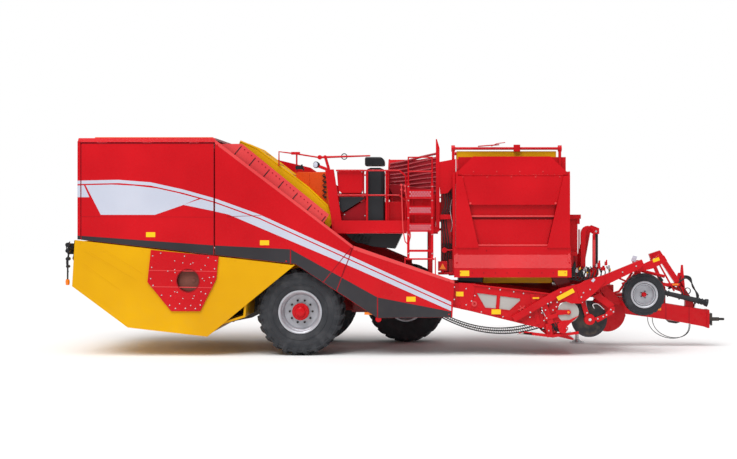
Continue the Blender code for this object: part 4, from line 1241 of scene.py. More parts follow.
    def _lamps(self) -> None:
        """Tail lamps, work lamp, outline lamps and their leads on the rear bar."""
        for side in (-1, 1):
            y = side * 1.22
            name = "right" if side < 0 else "left"
            lens = Form()
            lens.block((-6.3098, y - 0.115, 1.905), (-6.30, y - 0.02, 2.055))
            lens.piece(f"tail_lens_{name}", "chassis", "red_enamel", bevel=0.003)
            amber = Form()
            amber.block((-6.3098, y + 0.0, 1.905), (-6.30, y + 0.115, 2.055))
            corner = (-6.265, side * 1.50, 1.37)
            amber.turned(
                [(0.001, -0.05), (0.032, -0.05), (0.040, 0.0), (0.032, 0.055), (0.001, 0.06)],
                corner,
                (0, 0, -1),
                20,
            )
            amber.piece(f"amber_lens_{name}", "chassis", "lamp_orange", bevel=0.003)
            work = Form()
            work.turned(
                [(0.001, -0.03), (0.05, -0.03), (0.062, 0.0), (0.064, 0.035), (0.001, 0.035)],
                (-6.225, y - side * 0.17, 2.07),
                (-1, 0, 0),
                24,
            )
            work.tube([(-6.20, y, 1.92), (-6.235, y, 1.80), (-6.19, y, 1.70), (-6.215, y, 1.58)], 0.020)
            work.tube(
                [(-6.18, y + 0.06, 2.0), (-6.13, y + 0.05, 2.10), (-6.09, y, 2.02), (-6.12, y - 0.04, 1.9)],
                0.012,
            )
            out = side * 1.50
            work.tube(
                [(-6.20, y, 1.97), (-6.23, out, 1.99), (-6.262, out, 1.80), (-6.265, out, 1.40)], 0.016
            )
            for height, radius in ((2.06, 0.042), (1.95, 0.040), (1.80, 0.036), (1.66, 0.028)):
                work.bar((-6.255, out - 0.05, height), (-6.255, out + 0.05, height), radius, 14)
            curl = [
                (-6.22, out, 2.12), (-6.28, out - 0.03, 2.02), (-6.24, out, 1.88), (-6.285, out, 1.74),
                (-6.25, out, 1.55),
            ]
            work.tube(smooth(curl, 6), 0.010, 8)
            work.piece(f"work_lamp_{name}", "chassis", "black_enamel_and_shade")
            glass = Form()
            glass.turned(
                [(0.001, 0.0), (0.050, 0.0), (0.050, 0.008), (0.001, 0.008)],
                (-6.262, y - side * 0.17, 2.07),
                (-1, 0, 0),
                24,
            )
            glass.piece(f"lamp_glass_{name}", "chassis", "bright_rod")


# ---------------------------------------------------------------- rising channel
@dataclass
class RisingChannel:
    """Hinged flaps, the yellow cover's lips, brackets and small fittings along the slope."""

    marks: int = 7

    def build(self) -> None:
        """Adds the details."""
        self._flaps()
        self._cover()
        self._fittings()

    def _flaps(self) -> None:
        """Short dark hinge straps across the pale strip."""
        ticks = Form()
        start, end = Vector((-3.03, 3.90)), Vector((-1.47, 2.60))
        run = (end - start).normalized()
        across = Vector((-run.y, run.x))
        for i in range(self.marks):
            spot = start.lerp(end, i / (self.marks - 1))
            inner = spot - across * 0.015
            outer = spot - across * 0.225
            half = run * 0.008
            ticks.plate([inner - half, inner + half, outer + half, outer - half], -1.5245, -1.5205)
        ticks.piece("flap_straps", "chassis", "black_enamel_and_shade")
        rows = Form()
        for i in range((self.marks - 1) * 4 + 1):
            spot = start.lerp(end, i / ((self.marks - 1) * 4)) - across * 0.03
            rows.bar((spot.x, -1.527, spot.y), (spot.x, -1.52, spot.y), 0.011, 8)
        rows.piece("flap_rivets", "chassis", "seam_and_shadow_red")

    def _cover(self) -> None:
        """The yellow cover's turned-up right-hand lip and cross ribs."""
        line = [(-3.09, 3.985), (-2.78, 3.855), (-1.82, 3.12), (-1.47, 2.79), (-1.375, 2.48)]
        lip = Form()
        lip.tube([(x, -1.345, z) for x, z in line], 0.022, 10)
        lip.tube([(x, -0.245, z) for x, z in line], 0.022, 10)
        for i in range(6):
            t = 0.08 + i * 0.16
            x = -3.05 + t * 1.6
            z = height_on(line, x)
            lip.tube([(x, -1.33, z + 0.004), (x, -0.26, z + 0.004)], 0.014, 8)
        face = [(x, z - 0.02) for x, z in line]
        lip.plate([*face, *[(x - 0.09, z - 0.14) for x, z in face[:0:-1]]], -1.36, -1.345)
        lip.piece("cover_lips", "chassis", "yellow_enamel")

    def _fittings(self) -> None:
        """Round lug, side reflectors and pivot bolts near the seams."""
        lug = Form()
        lug.turned(
            [(0.001, -0.02), (0.055, -0.02), (0.055, 0.012), (0.030, 0.018), (0.001, 0.018)],
            (-0.50, -1.60, 0.69),
            (0, -1, 0),
            24,
        )
        lug.block((-0.545, -1.60, 0.69), (-0.455, -1.585, 0.80))
        lug.studs(
            ((-3.47, 3.90), (-3.47, 2.20), (-2.2, 1.76), (-0.90, 1.95), (0.80, 1.38), (0.80, 0.78)),
            SIDE - 0.006,
            SIDE,
            0.014,
            8,
        )
        lug.piece("panel_lugs", "chassis", "red_enamel")
        amber = Form()
        amber.block((-0.76, -1.60, 0.77), (-0.60, -1.585, 0.82))
        amber.piece("side_reflector", "chassis", "lamp_orange", bevel=0.004)


# ---------------------------------------------------------------- picking platform
@dataclass
class PickingPlatform:
    """Rails, lamps, treads, drive covers and pipes round the picking table."""

    rail_y: float = -1.40
    tread_y: float = -1.551

    def build(self) -> None:
        """Adds the details."""
        self._rails()
        self._ladder()
        self._tank()
        self._duct()
        self._drive_box()
        self._hopper()
        self._underside()

    def _rails(self) -> None:
        """Top rail with its bent rear end, clamps, lamp and mirror ring."""
        y = self.rail_y
        rail = Form()
        rail.tube([(-2.36, y, 3.52), (-2.36, y, 3.79), (-2.04, y, 3.75), (-1.60, y, 3.68)], 0.015)
        rail.bar((-1.60, y, 3.685), (-0.66, y, 3.715), 0.022, 12, 0.014)
        rail.bar((-2.03, y, 3.75), (-2.03, y, 3.40), 0.016)
        rail.block((-2.13, y - 0.03, 3.735), (-1.97, y + 0.03, 3.785))
        for x, z, radius in ((-1.60, 3.685, 0.042), (-1.50, 3.69, 0.034)):
            rail.bar((x, y - 0.03, z), (x, y + 0.03, z), radius, 16)
        rail.bar((-1.50, y, 3.70), (-1.43, y, 3.46), 0.026, 12)
        rail.bar((-1.62, y, 3.52), (-1.46, y, 3.46), 0.03, 10)
        rail.piece("top_rail", "chassis", "red_enamel", bevel=0.004)
        lamp = Form()
        lamp.turned(
            [(0.001, -0.05), (0.045, -0.045), (0.062, 0.0), (0.062, 0.03), (0.001, 0.03)],
            (-1.66, y, 3.545),
            (-0.6, -0.8, 0),
            24,
        )
        lamp.block((-2.05, y - 0.04, 3.46), (-1.93, y + 0.01, 3.53))
        lamp.bar((-1.94, y, 3.55), (-1.90, y, 3.44), 0.016, 8)
        lamp.turned(
            [(0.044, -0.008), (0.044, 0.008), (0.060, 0.008), (0.060, -0.008)],
            (-1.145, y, 3.70),
            (0, -1, 0),
            28,
        )
        lamp.piece("platform_lamp", "chassis", "black_enamel_and_shade")
        glass = Form()
        glass.turned(
            [
                (0.001, 0.0), (0.054, 0.0), (0.048, 0.012), (0.001, 0.018)
            ], (-1.678, y - 0.024, 3.545), (-0.6, -0.8, 0), 24
        )
        glass.piece("platform_lamp_glass", "chassis", "stripe_light")

    def _ladder(self) -> None:
        """See-through holes in each tread, side faces and the hand grips, whose light colour is a painted
        highlight.
        """
        holes = Form()
        # foot of the row of holes, and how many rows
        for foot, rows in ((2.345, 3), (2.665, 3), (2.965, 3)):
            for row in range(rows):
                for i in range(8 - row % 2):
                    x = 0.085 + (i + 0.5 * (row % 2)) * 0.053
                    z = foot + row * 0.036
                    holes.bar((x, self.tread_y - 0.001, z), (x, self.tread_y + 0.001, z), 0.011, 10)
        holes.piece("tread_holes", "ladder", "stripe_light")
        # Painted highlight: the hand grips are drawn in the lighter red, for the light along the rails.
        grips = Form()
        grips.tube(
            [(-0.08, -1.53, 3.18), (-0.05, -1.53, 2.34), (-0.01, -1.53, 2.12), (0.04, -1.53, 2.07)], 0.011
        )
        grips.tube(
            [(-0.01, -1.53, 3.16), (0.09, -1.53, 2.22), (0.06, -1.53, 2.10), (0.04, -1.53, 2.07)], 0.011
        )
        grips.studs(((-0.08, 3.17), (-0.01, 3.15), (-0.08, 3.08), (-0.01, 3.06)), -1.545, -1.515, 0.022, 10)
        grips.piece("ladder_grips", "ladder", "painted_highlight_red")
        faces = Form()
        for x in (0.03, 0.47):
            faces.block((x - 0.004, -1.556, 1.84), (x + 0.044, -1.549, 3.20))
        faces.bar((0.0, -1.555, 2.92), (0.50, -1.555, 2.92), 0.010, 8)
        faces.piece("ladder_side_faces", "ladder", "red_enamel", bevel=0.003)
        bolts = Form()
        for x in (0.05, 0.49):
            for z in (1.90, 2.25, 2.56, 2.88, 3.14):
                bolts.bar((x, -1.564, z), (x, -1.552, z), 0.012, 6)
        bolts.piece("ladder_bolts", "ladder", "bright_rod")

    def _tank(self) -> None:
        """Red bowl on the rear corner of the platform, with the dark mouth below it."""
        bowl = Form()
        outline = [(-1.29, 3.46), (-0.80, 3.46), (-0.80, 3.08), (-0.84, 3.02), (-1.20, 3.02), (-1.26, 3.08)]
        bowl.plate(outline, -1.36, -1.06)
        bowl.bar((-0.785, -1.37, 3.45), (-0.785, -1.37, 2.93), 0.014, 8)
        bowl.block((-1.30, -1.30, 2.86), (-0.76, -0.90, 3.02))
        bowl.piece("rear_bowl", "chassis", "red_enamel", bevel=0.03)
        mouth = Form()
        mouth.plate([(-1.24, 2.95), (-0.72, 2.95), (-1.18, 2.66), (-1.24, 2.72)], -1.34, -0.92)
        mouth.plate([(-0.72, 2.94), (-0.72, 2.36), (-0.42, 2.36), (-0.42, 2.94)], -1.275, -1.262)
        mouth.piece("bowl_mouth", "chassis", "duct_plastic", bevel=0.006)
        skirt = Form()
        skirt.plate([(-1.22, 2.36), (-1.18, 2.64), (-0.74, 2.90), (-0.74, 2.36)], -1.30, -0.95)
        skirt.plate([(-1.12, 2.40), (-1.10, 2.50), (-0.80, 2.50), (-0.78, 2.40)], -1.325, -1.30)
        skirt.piece("bowl_skirt", "chassis", "seam_and_shadow_red", bevel=0.006)
        bolts = Form()
        bolts.studs(
            ((-1.28, 2.92), (-0.79, 2.96), (-1.14, 2.62), (-0.76, 2.60), (-1.27, 3.42), (-0.82, 3.42)),
            -1.378, -1.36, 0.012, 6,
        )
        bolts.piece("bowl_bolts", "chassis", "bright_rod")

    def _duct(self) -> None:
        """Rounded black air duct with a separate cap, in place of the plain one."""
        duct = Form()
        body = [(-0.757, 2.345), (-0.757, 3.50), (-0.40, 3.50), (-0.40, 2.345)]
        duct.plate(body, -1.255, -0.885)
        piece = duct.piece("duct_body", "chassis", "duct_plastic", bevel=0.09)
        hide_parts("air_duct")
        cap = Form()
        corner = [
            (
                -0.50 + 0.10 * math.cos(math.radians(a)), 3.60 + 0.10 * math.sin(math.radians(a))
            ) for a in range(80, -1, -20)
        ]
        cap.plate([(-0.77, 3.53), (-0.77, 3.70), *corner, (-0.40, 3.53)], -1.26, -0.88)
        cap.piece("duct_cap", "chassis", "black_enamel_and_shade", bevel=0.03)
        post = Form()
        post.block((-0.37, -1.38, 2.34), (-0.315, -1.33, 3.44))
        post.block((-0.315, -1.20, 2.34), (-0.05, -1.17, 2.86))
        post.piece("duct_post", "chassis", "red_enamel", bevel=0.004)

    def _drive_box(self) -> None:
        """Orange drive cover behind the rail, with a row of dark fittings."""
        box = Form()
        box.block((-2.08, -1.02, 2.62), (-1.44, -0.60, 3.42))
        box.block((-1.84, -1.028, 2.62), (-1.83, -1.015, 3.42))
        box.piece("orange_drive_box", "chassis", "orange_enamel", bevel=0.02)
        dark = Form()
        for i in range(5):
            z = 2.95 + i * 0.095
            dark.bar((-1.53, -1.045, z), (-1.53, -1.015, z), 0.024, 10)
            dark.tube([(-1.55, -1.03, z), (-1.58, -1.04, z + 0.03), (-1.54, -1.04, z + 0.06)], 0.009, 6)
        dark.piece("drive_box_fittings", "chassis", "black_enamel_and_shade")

    def _hopper(self) -> None:
        """Wine-red rubber-cloth sides of the filling hood, with soft folds, and its chute."""
        cloth = Form()
        folds = 9
        for i in range(folds):
            z = 3.02 + i * 0.07
            lift = 0.020 * (i + 2)
            line = [
                (-0.31, -0.83, z), (0.0, -0.855, z + lift * 0.3), (0.30, -0.835, z + lift * 0.7),
                (0.57, -0.83, z + lift),
            ]
            cloth.tube(smooth(line, 5), 0.022, 8)
        cloth.plate([(-0.31, 2.98), (-0.31, 3.58), (0.57, 3.72), (0.57, 2.98)], -0.84, -0.80)
        cloth.piece("hood_cloth", "chassis", "wine_cloth")
        chute = Form()
        chute.plate([(-0.36, 3.19), (-0.26, 3.0), (0.48, 3.0), (0.48, 3.10), (-0.25, 3.20)], -0.95, -0.86)
        chute.piece("hood_chute", "chassis", "seam_and_shadow_red", bevel=0.01)
        rim = Form()
        for x in (-0.33, 0.59):
            side = [
                (x, -0.80, 2.90), (x, -0.80, 3.52), (x, -0.60, 3.67), (x, 0.08, 3.67), (x, 0.28, 3.52),
                (x, 0.28, 2.9),
            ]
            rim.tube(side, 0.018)
        rim.piece("hood_rims", "chassis", "red_enamel")
        back = Form()
        back.block((-0.30, -0.86, 2.36), (0.56, -0.83, 2.98))
        for x in (-0.28, 0.10, 0.52):
            back.block((x, -0.90, 2.36), (x + 0.03, -0.86, 3.0))
        back.piece("table_side", "chassis", "red_enamel", bevel=0.004)

    def _underside(self) -> None:
        """Dark tray, beams, pipes and the post with the triangular reflector."""
        tray = Form()
        tray.plate(
            [(-1.14, 2.262), (-0.07, 2.262), (-0.20, 1.98), (-0.62, 2.02), (-1.0, 2.13)], -1.28, -0.30
        )
        tray.piece("platform_tray", "chassis", "black_enamel_and_shade", bevel=0.006)
        beam = Form()
        beam.plate([(-1.10, 2.262), (0.02, 2.295), (0.02, 2.318), (-1.10, 2.285)], -1.465, -1.44)
        beam.block((0.42, -1.33, 1.50), (0.50, -1.27, 2.30))
        beam.block((0.44, -1.36, 2.26), (0.60, -1.30, 2.40))
        beam.block((0.64, -1.30, 2.53), (0.86, -1.24, 2.62))
        beam.bar((0.72, -1.33, 1.955), (0.72, -1.24, 1.955), 0.05, 18)
        beam.bar((0.72, -1.28, 1.955), (0.90, -1.28, 1.955), 0.018, 10)
        beam.block((0.60, -1.34, 1.50), (0.92, -1.26, 1.545))
        beam.piece("platform_posts", "chassis", "red_enamel", bevel=0.004)
        plate = Form()
        plate.block((0.60, -1.36, 1.57), (0.77, -1.345, 1.75))
        plate.bar((0.69, -1.35, 1.50), (0.69, -1.35, 1.60), 0.02, 8)
        plate.piece("reflector_plate", "chassis", "red_enamel", bevel=0.006)
        triangle = Form()
        triangle.plate([(0.625, 1.60), (0.745, 1.60), (0.685, 1.71)], -1.366, -1.36)
        triangle.piece("warning_triangle", "chassis", "lamp_orange")
        dark = Form()
        dark.block((0.66, -1.24, 2.08), (0.86, -1.16, 2.53))
        dark.block((0.80, -1.30, 1.48), (0.90, -1.20, 1.78))
        dark.piece("dark_covers", "chassis", "frame_red", bevel=0.006)
        pipes = Form()
        for i in range(4):
            y, x = -1.26 + i * 0.02, 0.68 + 0.045 * i
            line = [
                (x, y, 3.10), (x + 0.06, y - 0.02, 2.82), (x - 0.02, y - 0.02, 2.55),
                (x + 0.03, y - 0.03, 2.1), (x, y, 1.76),
            ]
            pipes.tube(smooth(line, 6), 0.011)
        for i in range(3):
            start = -0.92 + i * 0.07
            line = [
                (start, -1.30, 2.24), (start - 0.06, -1.31, 2.16), (start + 0.05, -1.31, 2.09),
                (start + 0.12, -1.30, 2.2),
            ]
            pipes.tube(smooth(line, 6), 0.011)
        pipes.piece("platform_hoses", "chassis", "hose_rubber")
        pale = Form()
        pale.tube(
            smooth([(0.86, -1.31, 2.9), (0.83, -1.32, 2.7), (0.87, -1.32, 2.45), (0.84, -1.31, 2.3)], 6),
            0.009,
        )
        pale.piece("pale_pipe", "chassis", "bright_rod")


# ---------------------------------------------------------------- bunker
@dataclass
class Bunker:
    """Folded right-hand wall, apron, bolts, roller and top frame."""

    rear: float = 0.93
    front: float = 3.05
    wall: float = -1.475

    def build(self) -> None:
        """Adds the details."""
        self._wall()
        self._apron()
        self._top()
        self._corner()

    def _wall(self) -> None:
        """Cross folds in the recess, the upper seam and rows of bolts."""
        upper = Form()
        top, foot = 3.345, 2.80
        a, b = self._recess(top), self._recess(foot)
        upper.plate([(a[0], top), (a[1], top), (b[1], foot), (b[0], foot)], -1.446, -1.40)
        upper.plate([(1.04, 3.345), (2.93, 3.345), (2.93, 3.36), (1.04, 3.36)], -1.455, -1.40)
        upper.piece("bunker_upper_wall", "chassis", "red_enamel", bevel=0.004)
        band = Form()
        a, b = self._recess(2.81), self._recess(2.60)
        band.plate([(a[0], 2.81), (a[1], 2.81), (b[1], 2.60), (b[0], 2.60)], -1.375, -1.33)
        band.piece("bunker_shadow_band", "chassis", "red_enamel")
        # Painted highlight: the ledges' tops in the lighter red, where they face up into the light.
        ledge = Form()
        for top, foot, out in ((2.605, 2.575, -1.425), (2.065, 2.035, -1.45)):
            a, b = self._recess(top), self._recess(foot)
            ledge.plate([(a[0], top), (a[1], top), (b[1], foot), (b[0], foot)], out, -1.33)
        ledge.piece("bunker_ledges", "chassis", "painted_highlight_red", bevel=0.004)
        # Painted shadow: a dark strip below the upper ledge, where the wall steps back into shade.
        gap = Form()
        a, b = self._recess(2.575), self._recess(2.515)
        gap.plate([(a[0], 2.575), (a[1], 2.575), (b[1], 2.515), (b[0], 2.515)], -1.36, -1.33)
        gap.piece("bunker_painted_shadow_gap", "chassis", "seam_and_shadow_red")
        lower = Form()
        a, b = self._recess(2.53), self._recess(2.06)
        lower.plate([(a[0], 2.53), (a[1], 2.53), (b[1], 2.06), (b[0], 2.06)], -1.395, -1.33)
        lower.piece("bunker_lower_wall", "chassis", "red_enamel", bevel=0.006)
        # Painted highlight: the bolt heads are in the lighter red.
        bolts = Form()
        for i in range(5):
            bolts.bar((1.26 + i * 0.43, -1.452, 3.42), (1.26 + i * 0.43, -1.438, 3.42), 0.011, 8)
            bolts.bar((1.06 + i * 0.45, -1.460, 3.32), (1.06 + i * 0.45, -1.444, 3.32), 0.011, 8)
        bolts.studs(((1.20, 2.83), (2.78, 2.83)), -1.492, -1.44, 0.020, 12)
        bolts.piece("bunker_bolts", "chassis", "painted_highlight_red")

    def _recess(self, z: float) -> tuple[float, float]:
        """The recess's left and right edges at a height."""
        left = 1.05 + (3.34 - z) / (3.34 - 2.00) * 0.31
        return left, self.rear + self.front - left

    def _apron(self) -> None:
        """Sloping face that shows pale, and bolts along the darker flange below it, with the yellow chute
        under the bunker.
        """
        low, high = self.rear - 0.035, self.front + 0.015
        slope = Form()
        slope.plate(
            [(-1.4565, 1.868), (-1.5765, 1.628), (-1.5795, 1.6295), (-1.4595, 1.8695)],
            low + 0.003,
            high - 0.003,
            Plane.END,
        )
        slope.piece("apron_slope", "chassis", "red_enamel")
        bolts = Form()
        for i in range(10):
            x = low + 0.12 + i * (high - low - 0.24) / 9
            bolts.bar((x, -1.582, 1.545), (x, -1.574, 1.545), 0.010, 8)
        bolts.bar((1.5, -1.46, 1.95), (1.5, -1.452, 1.95), 0.012, 8)
        bolts.piece("apron_bolts", "chassis", "seam_and_shadow_red")
        yellow = Form()
        yellow.block((1.45, -1.12, 1.33), (2.75, -0.20, 1.45))
        yellow.piece("yellow_chute_under_bunker", "chassis", "yellow_enamel", bevel=0.01)

    def _top(self) -> None:
        """Roller tube, end frames, the yellow inner sheet and a lever."""
        frame = Form()
        y = -1.20
        frame.bar((0.86, y, 3.86), (2.92, y, 3.86), 0.026, 16)
        for x in (0.86, 2.86):
            frame.block((x, y - 0.04, 3.40), (x + 0.05, y + 0.04, 3.90))
            frame.bar((x - 0.01, y, 3.86), (x + 0.06, y, 3.86), 0.06, 16)
        frame.block((2.02, y - 0.05, 3.80), (2.14, y + 0.05, 3.93))
        frame.bar((1.35, y - 0.02, 3.90), (1.75, y - 0.02, 3.93), 0.012, 8)
        frame.tube([(1.6, y - 0.03, 3.90), (1.70, y - 0.04, 3.95), (1.86, y - 0.04, 3.97)], 0.008)
        frame.piece("bunker_top_frame", "chassis", "red_enamel", bevel=0.004)
        sheet = Form()
        sheet.plate([(0.95, 3.66), (0.95, 3.81), (2.82, 3.81), (2.82, 3.66)], -1.17, -1.15)
        sheet.piece("bunker_yellow_sheet", "chassis", "yellow_enamel")
        inner = Form()
        inner.plate([(0.98, 3.40), (0.98, 3.70), (3.0, 3.70), (3.0, 3.40)], -1.19, -1.16)
        inner.piece("bunker_inner_sheet", "chassis", "red_enamel")
        head = Form()
        for i in range(6):
            x = 1.10 + i * 0.355
            head.tube([(x, 1.13, 2.12), (x, 1.262, 2.72), (x, 1.335, 3.82)], 0.022, 8)
        head.piece("bunker_side_ribs", "bunker_side", "red_enamel")

    def _corner(self) -> None:
        """Rear corner gusset and post, the dark boxes under the bunker and the corner panel."""
        gusset = Form()
        gusset.plate([(0.60, 3.60), (0.93, 3.66), (0.93, 3.20), (0.78, 3.02), (0.64, 3.0)], -1.30, -1.27)
        gusset.block((0.87, -1.42, 1.50), (0.925, -1.36, 3.40))
        gusset.piece("bunker_corner", "chassis", "red_enamel", bevel=0.004)
        dark = Form()
        dark.block((2.76, -1.12, 1.33), (3.0, -0.30, 1.46))
        dark.block((0.98, -1.15, 1.34), (1.44, -0.40, 1.46))
        dark.piece("dark_boxes_under_bunker", "chassis", "black_enamel_and_shade", bevel=0.01)
        panel = Form()
        panel.block((0.655, -1.10, 1.50), (0.90, -1.05, 3.20))
        panel.piece("corner_panel", "chassis", "frame_red", bevel=0.006)


# ---------------------------------------------------------------- digging front
@dataclass
class DiggingFront:
    """Side-plate trim, levers, bolts, disc hubs and pipes of the digging unit."""

    plate: float = -1.52
    body: str = "digging_front"
    window: Point = (3.005, -1.56, 0.817)

    def build(self) -> None:
        """Adds the details."""
        self._windows()
        self._trim()
        self._discs()
        self._neck()
        self._shares()
        self._column()
        self._valves()

    def _windows(self) -> None:
        """Pale screens behind the two windows, and the round one with the hub arm across it."""
        screens = Form()
        screens.block((1.28, -1.512, 0.85), (2.15, -1.506, 1.20))
        x, y, z = self.window
        screens.turned(
            [(0.001, -0.003), (0.198, -0.003), (0.198, 0.003), (0.001, 0.003)], (x, y, z), (0, -1, 0), 40
        )
        screens.piece("window_screens", self.body, "window_grey")
        red = Form()
        red.plate(
            [(x - 0.24, z + 0.045), (x, z + 0.04), (x, z - 0.04), (x - 0.22, z - 0.055)],
            y - 0.03,
            y - 0.012,
        )
        red.bar((x, y - 0.045, z), (x, y - 0.01, z), 0.048, 20)
        red.plate(
            [(x - 0.20, z - 0.16), (x - 0.05, z - 0.29), (x + 0.20, z - 0.06), (x + 0.02, z - 0.145)],
            y - 0.02,
            y - 0.004,
        )
        surround = [
            (2.66, 1.15), (2.90, 1.12), (3.06, 1.03), (2.86, 0.98), (2.80, 0.86), (2.82, 0.74),
            (2.96, 0.60), (2.98, 0.47),
        ]
        red.plate([*surround, (2.74, 0.44), (2.62, 0.60)], -1.553, -1.522)
        red.piece("hub_arm", self.body, "red_enamel", bevel=0.004)
        hub = Form()
        hub.bar((x, y - 0.056, z), (x, y - 0.04, z), 0.022, 12)
        hub.piece("hub_arm_bolt", self.body, "lamp_orange")

    def _trim(self) -> None:
        """Flanges, bolts and the transition plate at the channel's end."""
        plate = self.plate
        trim = Form()
        trim.plate([(1.245, 1.338), (2.806, 1.147), (2.806, 1.12), (1.245, 1.31)], plate - 0.03, plate)
        trim.plate([(2.30, 1.16), (2.38, 1.15), (2.50, 0.60), (2.42, 0.58)], plate - 0.016, plate)
        trim.plate([(0.98, 1.36), (1.30, 1.34), (1.20, 0.84), (1.02, 0.87)], plate - 0.012, plate)
        trim.plate(
            [(0.80, 0.93), (1.195, 0.845), (2.20, 0.597), (2.20, 0.62), (0.80, 0.955)], plate - 0.02, plate
        )
        for window in (
            [(1.308, 1.175), (1.692, 1.125), (1.671, 0.877), (1.471, 0.892)],
            [(1.747, 1.118), (2.124, 1.068), (2.124, 1.025), (1.925, 0.845), (1.727, 0.869)],
        ):
            corners = [Vector((x, plate - 0.002, z)) for x, z in (*window, window[0], window[1])]
            trim.tube(corners, 0.007, 6)
        trim.piece("side_plate_trim", self.body, "red_enamel", bevel=0.003)
        bolts = Form()
        spots = [
            (1.12, 1.25), (1.12, 0.95), (1.55, 1.25), (2.0, 1.19), (2.3, 0.72), (1.4, 0.82), (2.13, 0.76)
        ]
        spots += [
            (1.28, 1.12), (2.6, 1.08), (2.45, 0.95), (2.7, 0.6), (1.8, 0.73), (0.9, 1.05), (0.9, 1.28)
        ]
        spots += [(1.75, 1.23), (2.18, 1.16), (2.52, 0.80), (2.56, 0.66), (1.22, 1.02)]
        bolts.studs(spots, plate - 0.02, plate, 0.013, 6)
        bolts.piece("side_plate_bolts", self.body, "bright_rod")
        # Painted highlight: the roller ends are in the lighter red.
        star = Form()
        star.turned(
            [(0.02, -0.01), (0.02, 0.014), (0.05, 0.014), (0.05, -0.01)],
            (2.16, plate - 0.008, 0.86),
            (0, -1, 0),
            20,
        )
        for i in range(6):
            turn = math.pi * i / 3
            near = (2.16 + 0.03 * math.cos(turn), plate - 0.015, 0.86 + 0.03 * math.sin(turn))
            star.bar(
                near,
                (2.16 + 0.085 * math.cos(turn), plate - 0.015, 0.86 + 0.085 * math.sin(turn)),
                0.011,
                6,
            )
        star.turned(
            [(0.015, -0.01), (0.015, 0.016), (0.05, 0.016), (0.05, -0.01)],
            (1.27, plate - 0.008, 0.97),
            (0, -1, 0),
            20,
        )
        star.piece("roller_ends", self.body, "painted_highlight_red")
        stop = Form()
        stop.turned(
            [(0.02, 0.0), (0.02, 0.018), (0.034, 0.018), (0.034, 0.0)],
            (1.27, plate - 0.006, 0.97),
            (0, -1, 0),
            16,
        )
        stop.plate([(2.06, 0.40), (2.16, 0.44), (2.34, 0.43), (2.34, 0.39)], -1.56, -1.50)
        stop.piece("web_scraper", self.body, "window_grey", bevel=0.004)

    def _discs(self) -> None:
        """Hubs and bolts of both discs, and the brackets that carry the right-hand one."""
        for name, centre, side in (
            ("right", (3.415, -1.37, 0.672), -1), ("left", (3.86, -0.36, 0.715), -1)
        ):
            x, y, z = centre
            hub = Form()
            hub.turned(
                [(0.001, 0.0), (0.105, 0.0), (0.10, 0.025), (0.05, 0.035), (0.045, 0.055), (0.001, 0.055)],
                (x, y + side * 0.006, z),
                (0, side, 0),
                28,
            )
            for i in range(6):
                turn = math.pi * i / 3
                near = (x + 0.075 * math.cos(turn), y + side * 0.02, z + 0.075 * math.sin(turn))
                hub.bar(near, (near[0], y + side * 0.045, near[2]), 0.011, 6)
            hub.piece(f"disc_hub_{name}", f"{name}_disc", "red_enamel")
            cap = Form()
            cap.bar((x, y + side * 0.055, z), (x, y + side * 0.075, z), 0.026, 12)
            cap.piece(f"disc_cap_{name}", f"{name}_disc", "bright_rod")
        edge = Form()
        edge.turned(
            [(0.29, 0.006), (0.333, 0.001), (0.336, 0.0), (0.29, 0.009)],
            (3.415, -1.37, 0.672),
            (0, -1, 0),
            56,
        )
        edge.piece("disc_edge", "right_disc", "stripe_grey")
        middle = Form()
        middle.turned(
            [
                (0.001, -0.006), (0.345, -0.004), (0.348, 0.0), (0.345, 0.004), (0.001, 0.006)
            ], (3.83, -0.80, 0.735), (0, -1, 0), 48
        )
        middle.piece("middle_disc", self.body, "red_enamel")
        arm = Form()
        arm.plate(
            [(3.52, 1.34), (3.60, 1.34), (4.02, 0.98), (3.90, 0.70), (3.80, 0.70), (3.86, 0.95)],
            -0.77,
            -0.73,
        )
        arm.bar((3.83, -0.83, 0.735), (3.83, -0.73, 0.735), 0.05, 16)
        arm.plate(
            [
                (3.49, 0.70), (3.56, 0.62), (3.74, 0.72), (3.86, 0.78), (3.88, 0.91), (3.80, 0.91),
                (3.70, 0.78),
            ],
            -1.49,
            -1.46,
        )
        arm.plate([(3.22, 1.06), (3.31, 1.06), (3.40, 0.78), (3.32, 0.74)], -1.50, -1.47)
        arm.plate([(3.46, 1.10), (3.60, 1.16), (3.88, 0.95), (3.80, 0.86), (3.60, 1.0)], -1.46, -1.43)
        arm.bar((3.415, -1.49, 0.672), (3.415, -1.455, 0.672), 0.10, 24)
        arm.piece("disc_brackets", self.body, "red_enamel", bevel=0.004)
        bolts = Form()
        bolts.studs(
            (
                (3.56, 0.69), (3.72, 0.76), (3.80, 0.86), (3.85, 0.82), (3.27, 1.0), (3.36, 0.80),
                (3.66, 0.73),
            ),
            -1.51, -1.485, 0.015, 6,
        )
        bolts.bar((3.415, -1.515, 0.672), (3.415, -1.49, 0.672), 0.028, 12)
        bolts.tube(smooth([(3.34, -1.46, 1.04), (3.35, -1.48, 0.92), (3.38, -1.48, 0.82)], 6), 0.012, 8)
        bolts.tube(
            smooth([(3.50, -1.46, 0.88), (3.47, -1.48, 0.95), (3.56, -1.48, 0.96), (3.68, -1.48, 0.86)], 6),
            0.011,
            8,
        )
        bolts.piece("disc_links", self.body, "bright_rod")

